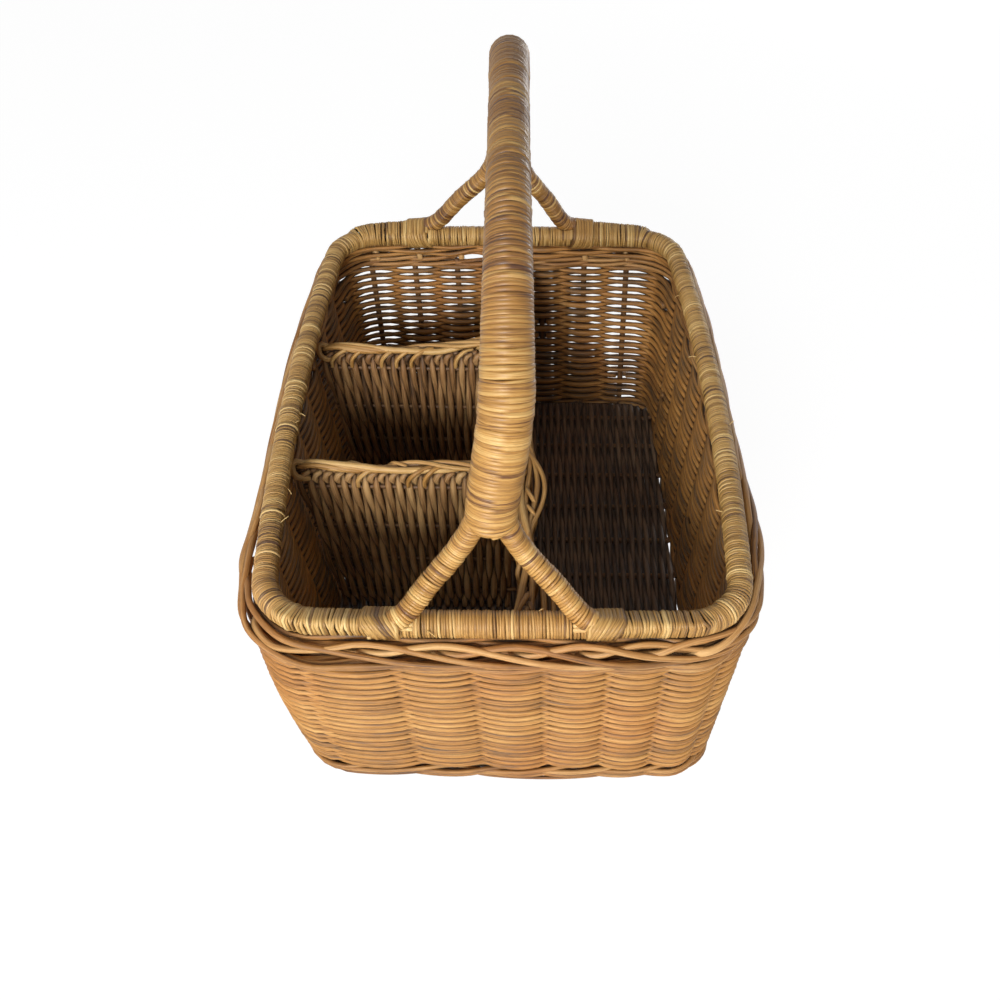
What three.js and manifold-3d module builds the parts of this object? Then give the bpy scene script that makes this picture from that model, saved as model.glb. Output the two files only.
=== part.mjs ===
// Utensil caddy: an oblong rattan basket with four compartments and a fixed wrapped handle.
// Millimetres, +Z up, +Y towards the rear short side. The origin is on the ground under the middle.
import * as THREE from "three";
import { mergeVertices } from "three/addons/utils/BufferGeometryUtils.js";
import Module from "manifold-3d";

const wasm = await Module();
wasm.setup();

// Driving dimensions.
const clearance = 0.3;

// The walls' middle surface at the ground and at the top of the weave.
const baseHalfWidth = 107;
const baseHalfLength = 155;
const baseCorner = 20;
const baseSideBow = 1.5;
const baseShiftX = 4.9;
const topHalfWidth = 120.5;
const topHalfLength = 170;
const topCorner = 25;
const topSideBow = 7.5;
const endBow = 2;
const frontLeftBulge = 5.5;
const bulgeTurn = 0.64;
const bulgeReach = 0.08;
const wallThickness = 8;
const wallWaist = 3.4;

// Heights.
const footTop = 9.5;
const footThickness = 9;
const floorBottom = 3.3;
const floorTop = 9.9;
const weaveTop = 117;
const walingTop = 124;
const walingThickness = 8;

// Stakes.
const stakeDiameter = 4;
const stakeBendRadius = 5;
const crossStakeCount = 10;
const crossStakeMargin = 16.5;
const crossStakeShiftY = -2;
const frontStakeCount = 6;
const frontStakeLeftMargin = 41;
const frontStakeRightMargin = 20;
const frontStakeCrowding = 0.25;
const rearStakeCount = 7;
const rearStakeLeftMargin = 18;
const rearStakeRightMargin = 26;
const endStakeFoot = 2;

// Rim hoop, its wrap and the braided border under it.
const rimShiftX = 0.8;
const rimHalfWidth = 117;
const rimHalfLength = 164.5;
const rimCorner = 24;
const rimSideBow = 8;
const rimHeight = 142;
const hoopRadius = 4.4;
const caneThickness = 1.3;
const endWrapThickness = 1.9;
const borderInner = 2;
const borderOuterSide = 12;
const borderOuterEnd = 14.5;
const borderTop = 138;

// Handle and legs.
const handleReachY = 150;
const handleSpringHeight = 141;
const handleTopHeight = 306.5;
const handleSquareness = 3;
const frontForkHeight = 191;
const rearForkHeight = 211;
const handleCoreRadius = 7.8;
const forkHalfWidth = 11.4;
const coreTipRadius = 2.4;
const coreEnd = 25;
const coreTaperStart = 15;
const coreTaperEnd = 75;
const shoulderSwell = 0.8;
const shoulderDistance = 60;
const shoulderSpread = 40;
const forkBlend = 190;
const handleFrontX = -4.4;
const handleTopX = 2.5;
const handleRearX = 1;
const handleLeanFrom = 185;
const handleLeanTo = 256;
const legCaneRadius = 3.5;
const legCaneTipRadius = 2.4;
const caneReach = 108;
const caneTaperStart = 30;
const caneTaperReach = 128;
const legTopGap = 3;
const legStartDrop = 15;
const frontLegSpread = 14.5;
const rearLegSpread = 11.5;
const legWrapTuck = 4;
const legWrapPast = 1;
const legGuard = 4;
const footLandingLift = 5.5;
const footBend = 5;
const footBlend = 6;
const footCaneRadius = 2.6;
const footTipRadius = 1.1;
const footMiddleX = -3;
const frontFootSpread = 46;
const rearFootSpread = 49;
const footRunEnd = 93;
const footStackAngle = Math.PI / 4;
const fatWrapLead = 5.5;
const footWrapPast = 1.5;
const lashingLag = 2.5;
const lashingTurns = 3;
const lashingPitch = 3.1;
const lashingCaneRadius = 1.2;
const lashingSlack = 0.5;

// Dividers.
const dividerThickness = 7;
const dividerWaist = 2.8;
const stickHeights = [22, 50, 78, 109];
const dividerX = 13;
const dividerTop = 119;
const frontDividerY = -42;
const rearDividerY = 64;
const dividerBorderHalfWidth = 6;
const dividerBorderHalfHeight = 4.2;
const dividerBorderLift = 2;

// Facets.
const sideSteps = 3;
const cornerSteps = 5;
const endSteps = 2;
const ringSides = 8;
const archSides = 10;
const stakeSides = 5;
const archSteps = 20;
const legSteps = 22;
const legWrapSteps = 9;

const lerp = THREE.MathUtils.lerp;
const clamp = THREE.MathUtils.clamp;

// Solids and booleans.

function signedVolume(positions, triangles) {
  let volume = 0;
  const a = new THREE.Vector3();
  const b = new THREE.Vector3();
  const c = new THREE.Vector3();
  for (let i = 0; i < triangles.length; i += 3) {
    a.fromArray(positions, triangles[i] * 3);
    b.fromArray(positions, triangles[i + 1] * 3);
    c.fromArray(positions, triangles[i + 2] * 3);
    volume += a.dot(b.cross(c)) / 6;
  }
  return volume;
}

function solidFrom(geometry) {
  const bare = geometry.clone();
  bare.deleteAttribute("normal");
  bare.deleteAttribute("uv");
  const merged = mergeVertices(bare, 1e-4);
  const vertProperties = new Float32Array(merged.attributes.position.array);
  const triVerts = new Uint32Array(merged.index.array);
  if (signedVolume(vertProperties, triVerts) < 0) {
    for (let i = 0; i < triVerts.length; i += 3) {
      const first = triVerts[i];
      triVerts[i] = triVerts[i + 1];
      triVerts[i + 1] = first;
    }
  }
  return new wasm.Manifold(new wasm.Mesh({ numProp: 3, vertProperties, triVerts }));
}

function geometryFrom(solid) {
  const mesh = solid.getMesh();
  const geometry = new THREE.BufferGeometry();
  geometry.setAttribute("position", new THREE.BufferAttribute(new Float32Array(mesh.vertProperties), 3));
  geometry.setIndex(new THREE.BufferAttribute(new Uint32Array(mesh.triVerts), 1));
  geometry.computeVertexNormals();
  return geometry;
}

// Outlines. A turn of 0 is the middle of the right side, 0.25 the rear, 0.5 the left, 0.75 the front.

const middleHalfWidth = (baseHalfWidth + topHalfWidth) / 2;
const middleHalfLength = (baseHalfLength + topHalfLength) / 2;
const middleCorner = (baseCorner + topCorner) / 2;
const sideRun = middleHalfLength - middleCorner;
const cornerRun = (middleCorner * Math.PI) / 2;
const endRun = middleHalfWidth - middleCorner;
const quarterRun = sideRun + cornerRun + endRun;
const sideShare = sideRun / quarterRun;
const cornerShare = (sideRun + cornerRun) / quarterRun;

function outlinePoint(turn, halfWidth, halfLength, corner, sideBow) {
  const wrapped = ((turn % 1) + 1) % 1;
  const quarter = Math.floor(wrapped * 4) % 4;
  const along = wrapped * 4 - quarter;
  const share = quarter % 2 === 0 ? along : 1 - along;
  const a = halfWidth - sideBow;
  const b = halfLength - endBow;
  let x = a;
  let y = b;
  if (share < sideShare) {
    y = ((b - corner) * share) / sideShare;
  } else if (share < cornerShare) {
    const angle = (((share - sideShare) / (cornerShare - sideShare)) * Math.PI) / 2;
    x = a - corner + corner * Math.cos(angle);
    y = b - corner + corner * Math.sin(angle);
  } else {
    x = ((a - corner) * (1 - share)) / (1 - cornerShare);
  }
  const bowedX = x + sideBow * (1 - (y / b) ** 2) * (x / a);
  const bowedY = y + endBow * (1 - (x / a) ** 2) * (y / b);
  const signX = quarter === 1 || quarter === 2 ? -1 : 1;
  const signY = quarter > 1 ? -1 : 1;
  return new THREE.Vector2(signX * bowedX, signY * bowedY);
}

function offsetFrom(curve, turn, offset) {
  const point = curve(turn);
  if (offset === 0) {
    return point;
  }
  const ahead = curve(turn + 0.0004);
  const behind = curve(turn - 0.0004);
  const tangent = ahead.sub(behind).normalize();
  return point.add(new THREE.Vector2(tangent.y, -tangent.x).multiplyScalar(offset));
}

function wallCurve(height) {
  const share = height / walingTop;
  const halfWidth = lerp(baseHalfWidth, topHalfWidth, share);
  const halfLength = lerp(baseHalfLength, topHalfLength, share);
  const corner = lerp(baseCorner, topCorner, share);
  const bow = lerp(baseSideBow, topSideBow, share);
  const shiftX = lerp(baseShiftX, 0, Math.min(share, 1));
  const bulge = frontLeftBulge * Math.sin(Math.PI * clamp(share, 0, 1));
  return (turn) => {
    const away = clamp((turn - bulgeTurn) / bulgeReach, -1, 1);
    const pushed = bulge * (1 - away ** 2) ** 2;
    const point = outlinePoint(turn, halfWidth, halfLength, corner, bow);
    return point.add(new THREE.Vector2(shiftX - pushed, -pushed / 3));
  };
}

function wallPoint(turn, height, offset = 0) {
  const flat = offsetFrom(wallCurve(height), turn, offset);
  return new THREE.Vector3(flat.x, flat.y, height);
}

function rimCurve(turn) {
  const point = outlinePoint(turn, rimHalfWidth, rimHalfLength, rimCorner, rimSideBow);
  return point.add(new THREE.Vector2(rimShiftX, 0));
}

function rimPoint(turn, outward = 0, up = 0) {
  const flat = offsetFrom(rimCurve, turn, outward);
  return new THREE.Vector3(flat.x, flat.y, rimHeight + up);
}

// The turns at which every ring has its sections, so that rings in one another keep their gap.
const quarterStations = [
  ...Array.from({ length: sideSteps }, (_, i) => (sideShare * i) / sideSteps),
  ...Array.from({ length: cornerSteps }, (_, i) => lerp(sideShare, cornerShare, i / cornerSteps)),
  ...Array.from({ length: endSteps }, (_, i) => lerp(cornerShare, 1, i / endSteps)),
];
const stations = [0, 1, 2, 3].flatMap((quarter) => {
  const mirrored = [...quarterStations.slice(1), 1].map((share) => 1 - share).reverse();
  const shares = quarter % 2 === 0 ? quarterStations : mirrored;
  return shares.map((share) => (quarter + share) / 4);
});
const outlineSteps = stations.length;

// A turn for each end of a run and for each station between them.
function turnsBetween(from, to) {
  const inner = [-1, 0, 1].flatMap((lap) => stations.map((turn) => turn + lap));
  const gap = 0.0008;
  return [from, ...inner.filter((turn) => turn > from + gap && turn < to - gap), to];
}

// A radius whose facets, not its corners, lie at the wanted distance.
function acrossFacets(radius, sides = ringSides) {
  return radius / Math.cos(Math.PI / sides);
}

// The turn between two turns where a rising or falling measure reaches a value.
function turnWhere(measure, value, low, high) {
  const rising = measure(high) > measure(low);
  let from = low;
  let to = high;
  for (let i = 0; i < 40; i += 1) {
    const middle = (from + to) / 2;
    if (measure(middle) < value === rising) {
      from = middle;
    } else {
      to = middle;
    }
  }
  return (from + to) / 2;
}

// Shape makers: three.js primitives with their points moved onto a path.

// A closed ring: place(turn, k) gives point k of the section at that turn.
function ringSolid(sectionCount, place, ringTurns = stations) {
  const steps = ringTurns.length;
  const geometry = new THREE.TorusGeometry(10, 2, sectionCount, steps);
  const position = geometry.attributes.position;
  const uv = geometry.attributes.uv;
  for (let i = 0; i < position.count; i += 1) {
    const step = Math.round(uv.getX(i) * steps) % steps;
    const k = Math.round(uv.getY(i) * sectionCount) % sectionCount;
    const p = place(ringTurns[step], k);
    position.setXYZ(i, p.x, p.y, p.z);
  }
  return solidFrom(geometry);
}

// A rod with closed ends along a path from 0 to 1. section(t, angle) gives its offsets across and up.
function rodSolid(path, steps, sides, acrossHint, section) {
  const geometry = new THREE.CylinderGeometry(1, 1, 1, sides, steps);
  const position = geometry.attributes.position;
  for (let i = 0; i < position.count; i += 1) {
    const t = clamp(0.5 - position.getY(i), 0, 1);
    const reach = Math.hypot(position.getX(i), position.getZ(i));
    const angle = Math.atan2(position.getZ(i), position.getX(i)) + Math.PI / sides;
    const centre = path(t);
    const tangent = path(Math.min(t + 0.002, 1)).sub(path(Math.max(t - 0.002, 0))).normalize();
    const hint = typeof acrossHint === "function" ? acrossHint(t) : acrossHint;
    const across = hint.clone().addScaledVector(tangent, -hint.dot(tangent)).normalize();
    const up = new THREE.Vector3().crossVectors(across, tangent);
    const [da, du] = section(t, angle);
    centre.addScaledVector(across, da * reach).addScaledVector(up, du * reach);
    position.setXYZ(i, centre.x, centre.y, centre.z);
  }
  return solidFrom(geometry);
}

function roundSection(radius) {
  return (t, angle) => {
    const r = typeof radius === "function" ? radius(t) : radius;
    return [r * Math.cos(angle), r * Math.sin(angle)];
  };
}

function plateSolid(low, high, offset) {
  const geometry = new THREE.CylinderGeometry(1, 1, 1, outlineSteps, 1);
  const position = geometry.attributes.position;
  for (let i = 0; i < position.count; i += 1) {
    const height = position.getY(i) > 0 ? high : low;
    const reach = Math.hypot(position.getX(i), position.getZ(i));
    const middle = wallPoint(0, height).add(wallPoint(0.5, height)).multiplyScalar(0.5);
    if (reach < 0.5) {
      position.setXYZ(i, middle.x, 0, height);
    } else {
      const angle = Math.atan2(position.getZ(i), position.getX(i));
      const step = Math.round((angle / (2 * Math.PI)) * outlineSteps);
      const p = wallPoint(stations[(step + outlineSteps) % outlineSteps], height, offset);
      position.setXYZ(i, p.x, p.y, height);
    }
  }
  return solidFrom(geometry);
}

function boxSolid(low, high) {
  const size = high.clone().sub(low);
  const geometry = new THREE.BoxGeometry(size.x, size.y, size.z);
  geometry.translate((low.x + high.x) / 2, (low.y + high.y) / 2, (low.z + high.z) / 2);
  return solidFrom(geometry);
}

// Materials.

function rattan(color, roughness) {
  return new THREE.MeshStandardMaterial({ color, roughness, metalness: 0 });
}

const wallRattan = rattan(0xc08a50, 0.62);
const stakeRattan = rattan(0xa87544, 0.66);
const borderRattan = rattan(0x9a6c42, 0.6);
const wrapCane = rattan(0xcfa262, 0.48);
const handleCane = rattan(0xd09c58, 0.46);
const coreCane = rattan(0xb98d57, 0.7);
const innerRattan = rattan(0x9c6f42, 0.66);

const group = new THREE.Group();

function addPiece(name, solid, material) {
  const mesh = new THREE.Mesh(geometryFrom(solid), material.clone());
  mesh.name = name;
  group.add(mesh);
}

// Stakes.

const stakeRadius = stakeDiameter / 2;
const stakeTop = walingTop - clearance;
const floorMiddle = (floorBottom + floorTop) / 2;

function crossStakePath(y, top) {
  const base = (turn) => wallPoint(turn, floorMiddle).y;
  const rightTurn = turnWhere(base, y, -0.2, 0.2);
  const leftTurn = 0.5 - rightTurn;
  const points = [];
  const sides = [
    [rightTurn, -1],
    [leftTurn, 1],
  ];
  sides.forEach(([turn, inward]) => {
    const corner = wallPoint(turn, floorMiddle);
    const upper = wallPoint(turn, floorMiddle + stakeBendRadius);
    const inner = corner.clone();
    inner.x += inward * stakeBendRadius;
    const curve = new THREE.QuadraticBezierCurve3(upper, corner, inner);
    const run = [wallPoint(turn, top), ...curve.getPoints(3)];
    points.push(...(inward < 0 ? run : run.reverse()));
  });
  return pathThrough(points);
}

// A path that gives exactly the listed points at equal steps and straight runs between them.
function pathThrough(points) {
  const last = points.length - 1;
  const path = (t) => {
    const at = clamp(t, 0, 1) * last;
    const i = Math.min(Math.floor(at), last - 1);
    return points[i].clone().lerp(points[i + 1], at - i);
  };
  path.steps = last;
  return path;
}

function crossStakeSolid(y, radius, top) {
  const path = crossStakePath(y, top);
  return rodSolid(path, path.steps, stakeSides, new THREE.Vector3(0, 1, 0), roundSection(radius));
}

function endStakeSolid(turn, radius, low, high) {
  const path = (t) => wallPoint(turn, lerp(high, low, t));
  return rodSolid(path, 1, stakeSides, new THREE.Vector3(1, 0, 0), roundSection(radius));
}

const crossStakePitch = (2 * (baseHalfLength - crossStakeMargin)) / (crossStakeCount - 1);
const crossStakeYs = Array.from(
  { length: crossStakeCount },
  (_, k) => crossStakeShiftY + (k - (crossStakeCount - 1) / 2) * crossStakePitch,
);

// The turns of a short wall's stakes; crowding above 0 sets them closer together towards the right.
function endStakeTurnsAt(middle, count, leftMargin, rightMargin, crowding) {
  const left = baseShiftX - baseHalfWidth + leftMargin;
  const right = baseShiftX + baseHalfWidth - rightMargin;
  return Array.from({ length: count }, (_, k) => {
    const share = k / (count - 1);
    const x = lerp(left, right, share + crowding * share * (1 - share));
    return turnWhere((turn) => wallPoint(turn, footTop).x, x, middle - 0.2, middle + 0.2);
  });
}

const endStakeTurns = [
  endStakeTurnsAt(0.75, frontStakeCount, frontStakeLeftMargin, frontStakeRightMargin, frontStakeCrowding),
  endStakeTurnsAt(0.25, rearStakeCount, rearStakeLeftMargin, rearStakeRightMargin, 0),
];
const sideStakeTurns = crossStakeYs.flatMap((y) => {
  const turn = turnWhere((at) => wallPoint(at, floorMiddle).y, y, -0.2, 0.2);
  return [(turn + 1) % 1, 0.5 - turn];
});
const stakeTurns = [...sideStakeTurns, ...endStakeTurns.flat()].sort((a, b) => a - b);

const channelRadius = stakeRadius + clearance * 1.2;
const channelTop = walingTop + 2;
const crossChannels = crossStakeYs.map((y) => crossStakeSolid(y, channelRadius, channelTop));
const endChannels = endStakeTurns.flat().map((turn) =>
  endStakeSolid(turn, channelRadius, endStakeFoot - clearance, channelTop),
);

function cutChannels(solid, channels) {
  return channels.reduce((result, channel) => result.subtract(channel), solid);
}

function addStakes() {
  crossStakeYs.forEach((y, k) => {
    addPiece(`cross_stake_${k + 1}`, crossStakeSolid(y, stakeRadius, stakeTop), stakeRattan);
  });
  endStakeTurns.forEach((turns, end) => {
    const side = end === 0 ? "front" : "rear";
    turns.forEach((turn, k) => {
      const stake = endStakeSolid(turn, stakeRadius, endStakeFoot, stakeTop);
      addPiece(`${side}_stake_${k + 1}`, stake, stakeRattan);
    });
  });
}

// Woven floor and walls.

function bandSolid(low, high, thickness) {
  const half = thickness / 2;
  const corners = [
    [half, low],
    [half, high],
    [-half, high],
    [-half, low],
  ];
  return ringSolid(4, (turn, k) => wallPoint(turn, corners[k][1], corners[k][0]));
}

// The woven wall is thick at each stake and thin halfway between two.
function ribbedWall(low, high) {
  const turns = stakeTurns.flatMap((turn, k) => {
    const next = k + 1 < stakeTurns.length ? stakeTurns[k + 1] : stakeTurns[0] + 1;
    return [0, 1, 2, 3].map((step) => lerp(turn, next, step / 4));
  });
  return ringSolid(
    4,
    (turn, k) => {
      const step = turns.indexOf(turn) % 4;
      const half = [wallThickness, (wallThickness + wallWaist) / 2, wallWaist][step === 3 ? 1 : step] / 2;
      return wallPoint(turn, k === 1 || k === 2 ? high : low, k < 2 ? half : -half);
    },
    turns,
  );
}

function addFloor() {
  const inside = -footThickness / 2 - clearance;
  const plate = plateSolid(floorBottom, floorTop, inside);
  addPiece("floor_weave", cutChannels(plate, crossChannels), innerRattan);
}

function addWalls() {
  const foot = cutChannels(bandSolid(0, footTop, footThickness), [...crossChannels, ...endChannels]);
  addPiece("foot_border", foot, borderRattan);
  const low = floorTop + clearance;
  const weave = cutChannels(ribbedWall(low, weaveTop), [...crossChannels, ...endChannels]);
  addPiece("wall_weave", weave, wallRattan);
  const waling = bandSolid(weaveTop + clearance, walingTop, walingThickness);
  addPiece("upper_waling", cutChannels(waling, [...crossChannels, ...endChannels]), borderRattan);
}

// The border gives way where the foot lashings pass between it and the hoop.
function lashingRoom(side, end) {
  const margin = lashingCaneRadius + 2 * clearance;
  const start = footSpread(end) + lashingLag;
  const from = legFootTurn(side, end, start - margin);
  const to = legFootTurn(side, end, start + lashingTurns * lashingPitch + margin);
  return stackRun(from, to, lashingLayer + lashingCaneRadius + clearance);
}

function addBorder() {
  const low = walingTop + clearance;
  // Shares of the width and of the height.
  const section = [
    [0, 0],
    [0.62, 0],
    [0.93, 0.19],
    [1, 0.53],
    [0.88, 0.88],
    [0.64, 1],
    [0.34, 0.76],
    [0, 0.7],
  ];
  const border = ringSolid(section.length, (turn, k) => {
    const endness = Math.abs(Math.sin(2 * Math.PI * turn)) ** 1.5;
    const outer = lerp(borderOuterSide, borderOuterEnd, endness);
    const [outShare, upShare] = section[k];
    return rimPoint(turn, lerp(borderInner, outer, outShare), lerp(low, borderTop, upShare) - rimHeight);
  });
  const relieved = corners.reduce((solid, [, side, end]) => solid.subtract(lashingRoom(side, end)), border);
  addPiece("braided_border", relieved, borderRattan);
}

// Rim hoop and wraps.

const wrapInnerRadius = acrossFacets(hoopRadius + clearance);
const wrapOuterRadius = acrossFacets(hoopRadius + clearance + caneThickness);
const endWrapRadius = acrossFacets(hoopRadius + clearance + endWrapThickness);

function rimTurnAt(x, front) {
  const middle = front ? 0.75 : 0.25;
  return turnWhere((turn) => rimCurve(turn).x, x, middle - 0.2, middle + 0.2);
}

function outwardAt(turn) {
  return rimPoint(turn, 1).sub(rimPoint(turn, 0)).normalize();
}

// Follows a list of turns, one at each equal step from 0 to 1.
function turnAlong(turns, t) {
  const at = clamp(t, 0, 1) * (turns.length - 1);
  const i = Math.min(Math.floor(at), turns.length - 2);
  return lerp(turns[i], turns[i + 1], at - i);
}

function rimRun(fromTurn, toTurn, radius) {
  const turns = turnsBetween(fromTurn, toTurn);
  const path = (t) => rimPoint(turnAlong(turns, t));
  return rodSolid(path, turns.length - 1, ringSides, new THREE.Vector3(0, 0, 1), roundSection(radius));
}

// The foot cane gets thinner along the rim, from where the leg lands to the cane's end.
function footRadiusAt(x) {
  const share = clamp((Math.abs(x - footMiddleX) - frontFootSpread) / (footRunEnd - frontFootSpread), 0, 1);
  return lerp(footCaneRadius, footTipRadius, share);
}

function footSpread(end) {
  return end < 0 ? frontFootSpread : rearFootSpread;
}

// The distance from the hoop's middle to the foot cane's, and the point that share of it away.
function stackDistance(turn) {
  return hoopRadius + clearance + footRadiusAt(rimCurve(turn).x);
}

function stackPoint(turn, share) {
  const distance = stackDistance(turn) * share;
  return rimPoint(turn, distance * Math.cos(footStackAngle), distance * Math.sin(footStackAngle));
}

// How far the facet facing that angle is from the stack's middle: it touches hoop or foot cane.
function stackFacet(turn, angle, layer) {
  const half = stackDistance(turn) / 2;
  const foot = half * Math.cos(angle) + footRadiusAt(rimCurve(turn).x);
  const hoop = hoopRadius - half * Math.cos(angle);
  return Math.max(foot, hoop) + layer;
}

// The corner between two facets, across from hoop to foot cane and square to that.
function stackCorner(turn, angle, layer) {
  const before = angle - Math.PI / ringSides;
  const after = angle + Math.PI / ringSides;
  const low = stackFacet(turn, before, layer);
  const high = stackFacet(turn, after, layer);
  const between = Math.sin(after - before);
  const across = (low * Math.sin(after) - high * Math.sin(before)) / between;
  return [across, (high * Math.cos(before) - low * Math.cos(after)) / between];
}

// A point anywhere on the same outline, in the direction of that angle.
function stackEdge(turn, angle, layer) {
  const reaches = Array.from({ length: ringSides }, (_, k) => {
    const facing = (k * 2 * Math.PI) / ringSides;
    const cosine = Math.cos(angle - facing);
    return cosine > 0.01 ? stackFacet(turn, facing, layer) / cosine : Infinity;
  });
  const reach = Math.min(...reaches);
  return [reach * Math.cos(angle), reach * Math.sin(angle)];
}

// The fat run: hoop and foot cane side by side, one up and outside the other, with a layer round both.
function stackRun(fromTurn, toTurn, layer) {
  const turns = turnsBetween(Math.min(fromTurn, toTurn), Math.max(fromTurn, toTurn));
  const path = (t) => stackPoint(turnAlong(turns, t), 0.5);
  const hint = (t) => {
    const out = outwardAt(turnAlong(turns, t)).multiplyScalar(Math.cos(footStackAngle));
    return out.setZ(Math.sin(footStackAngle));
  };
  const section = (t, angle) => stackCorner(turnAlong(turns, t), angle, layer);
  return rodSolid(path, turns.length - 1, ringSides, hint, section);
}

function hoopSolid() {
  return ringSolid(ringSides, (turn, k) => {
    const angle = ((k + 0.5) / ringSides) * 2 * Math.PI;
    return rimPoint(turn, hoopRadius * Math.cos(angle), hoopRadius * Math.sin(angle));
  });
}

// Handle.

function archAngleAt(height) {
  const share = (height - handleSpringHeight) / (handleTopHeight - handleSpringHeight);
  return Math.asin(share ** (handleSquareness / 2));
}

const archStart = archAngleAt(frontForkHeight);
const archEnd = Math.PI - archAngleAt(rearForkHeight);

function rawArch(angle) {
  const c = Math.cos(angle);
  const power = 2 / handleSquareness;
  const y = -handleReachY * Math.sign(c) * Math.abs(c) ** power;
  const rise = handleTopHeight - handleSpringHeight;
  const z = handleSpringHeight + rise * Math.sin(angle) ** power;
  const footX = c > 0 ? handleFrontX : handleRearX;
  const x = lerp(footX, handleTopX, THREE.MathUtils.smoothstep(z, handleLeanFrom, handleLeanTo));
  return new THREE.Vector3(x, y, z);
}

class ArchCurve extends THREE.Curve {
  getPoint(t) {
    return rawArch(lerp(archStart, archEnd, t));
  }
}

const arch = new ArchCurve();
arch.arcLengthDivisions = 800;
const archLength = arch.getLength();
const archPath = (t) => arch.getPointAt(clamp(t, 0, 1));

// Half the wrapped handle's width at a distance along it from the nearer fork.
const handleHalfWidth = handleCoreRadius + clearance + caneThickness;

function handleWidthAt(distance) {
  const blend = THREE.MathUtils.smoothstep(forkBlend - distance, 0, forkBlend);
  const swell = shoulderSwell * Math.exp(-(((distance - shoulderDistance) / shoulderSpread) ** 2));
  return lerp(handleHalfWidth, forkHalfWidth, blend) + swell;
}

function nearestFork(t) {
  return Math.min(t, 1 - t) * archLength;
}

const acrossX = new THREE.Vector3(1, 0, 0);

function handleShell(shrink, from = 0, to = 1) {
  const path = (t) => archPath(lerp(from, to, t));
  return rodSolid(path, archSteps, archSides, acrossX, (t, angle) => {
    const distance = nearestFork(clamp(lerp(from, to, t), 0, 1));
    const width = acrossFacets(handleWidthAt(distance) - shrink, archSides);
    const depth = acrossFacets(handleHalfWidth + 0.2 - shrink, archSides);
    return [width * Math.cos(angle), depth * Math.sin(angle)];
  });
}

function coreRadiusAcross(distance) {
  const share = THREE.MathUtils.smoothstep(distance, coreTaperStart, coreTaperEnd);
  return lerp(coreTipRadius, handleCoreRadius, share);
}

function handleCoreSolid() {
  const from = coreEnd / archLength;
  const path = (t) => archPath(lerp(from, 1 - from, t));
  return rodSolid(path, archSteps, ringSides, acrossX, (t, angle) => {
    const across = coreRadiusAcross(nearestFork(lerp(from, 1 - from, t)));
    const fullness = (across - coreTipRadius) / (handleCoreRadius - coreTipRadius);
    const upright = lerp(handleCoreRadius * 0.72, handleCoreRadius, fullness);
    return [across * Math.cos(angle), upright * Math.sin(angle)];
  });
}

// Legs. side is -1 for left and 1 for right, end is -1 for the front and 1 for the rear.

function caneOffset(distance) {
  const radius = caneRadiusBeside(distance);
  const roomEdge = handleWidthAt(distance) - caneThickness - clearance;
  return roomEdge - radius - 0.1;
}

function caneRadiusBeside(distance) {
  const share = THREE.MathUtils.smoothstep(distance, caneTaperStart, caneReach);
  return lerp(legCaneRadius, legCaneTipRadius, share);
}

function legFootTurn(side, end, x) {
  return rimTurnAt(footMiddleX + side * x, end < 0);
}

function forkAt(end) {
  return end < 0 ? frontForkHeight : rearForkHeight;
}

function legControlPoints(side, end) {
  const points = [];
  [1, 0.75, 0.5, 0.25, legTopGap / caneReach].forEach((share) => {
    const distance = caneReach * share;
    const t = end < 0 ? distance / archLength : 1 - distance / archLength;
    const p = archPath(t);
    p.x += side * caneOffset(distance);
    points.push(p);
  });
  const forkX = end < 0 ? handleFrontX : handleRearX;
  const spread = footSpread(end);
  const landingTurn = legFootTurn(side, end, spread - footBend);
  const landing = stackPoint(landingTurn, 1);
  landing.lerp(rimPoint(landingTurn), 0.5).setZ(landing.z + footLandingLift);
  const startX = forkX + side * (end < 0 ? frontLegSpread : rearLegSpread);
  const start = new THREE.Vector3(startX, end * handleReachY, forkAt(end) - legStartDrop);
  points.push(start);
  points.push(start.clone().lerp(landing, 0.5));
  points.push(landing);
  [0, 0.26, 0.53, 0.77, 1].forEach((share) => {
    const x = lerp(spread + footBend, footRunEnd, share);
    points.push(stackPoint(legFootTurn(side, end, x), 1));
  });
  return points;
}

function legCurve(side, end) {
  const curve = new THREE.CatmullRomCurve3(legControlPoints(side, end), false, "centripetal");
  curve.arcLengthDivisions = 400;
  return curve;
}

// The share of the leg's length at which one of its coordinates first passes a value.
function shareWhere(curve, test) {
  for (let i = 0; i <= 1000; i += 1) {
    if (test(curve.getPointAt(i / 1000))) {
      return i / 1000;
    }
  }
  return 1;
}

function legRod(side, end, from, to, steps, sides, radius) {
  const curve = legCurve(side, end);
  const path = (t) => curve.getPointAt(clamp(lerp(from, to, t), 0, 1));
  const hint = new THREE.Vector3(0, end, 0);
  return rodSolid(path, steps, sides, hint, (t, angle) => {
    const r = radius(curve.getPointAt(clamp(lerp(from, to, t), 0, 1)));
    return [r * Math.cos(angle), r * Math.sin(angle)];
  });
}

function caneRadiusAt(end, point) {
  const fork = forkAt(end);
  if (point.z > fork + 1) {
    const share = clamp((point.z - fork) / (handleTopHeight - fork), 0, 1);
    return caneRadiusBeside(share * caneTaperReach);
  }
  const x = Math.abs(point.x - footMiddleX);
  const share = THREE.MathUtils.smoothstep(x, footSpread(end) - footBlend, footSpread(end) + footBlend);
  return lerp(legCaneRadius, footRadiusAt(point.x), share);
}

function legCaneSolid(side, end, extra = 0) {
  const radius = (point) => caneRadiusAt(end, point) + extra;
  return legRod(side, end, 0, 1, legSteps, ringSides - 2, radius);
}

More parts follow.
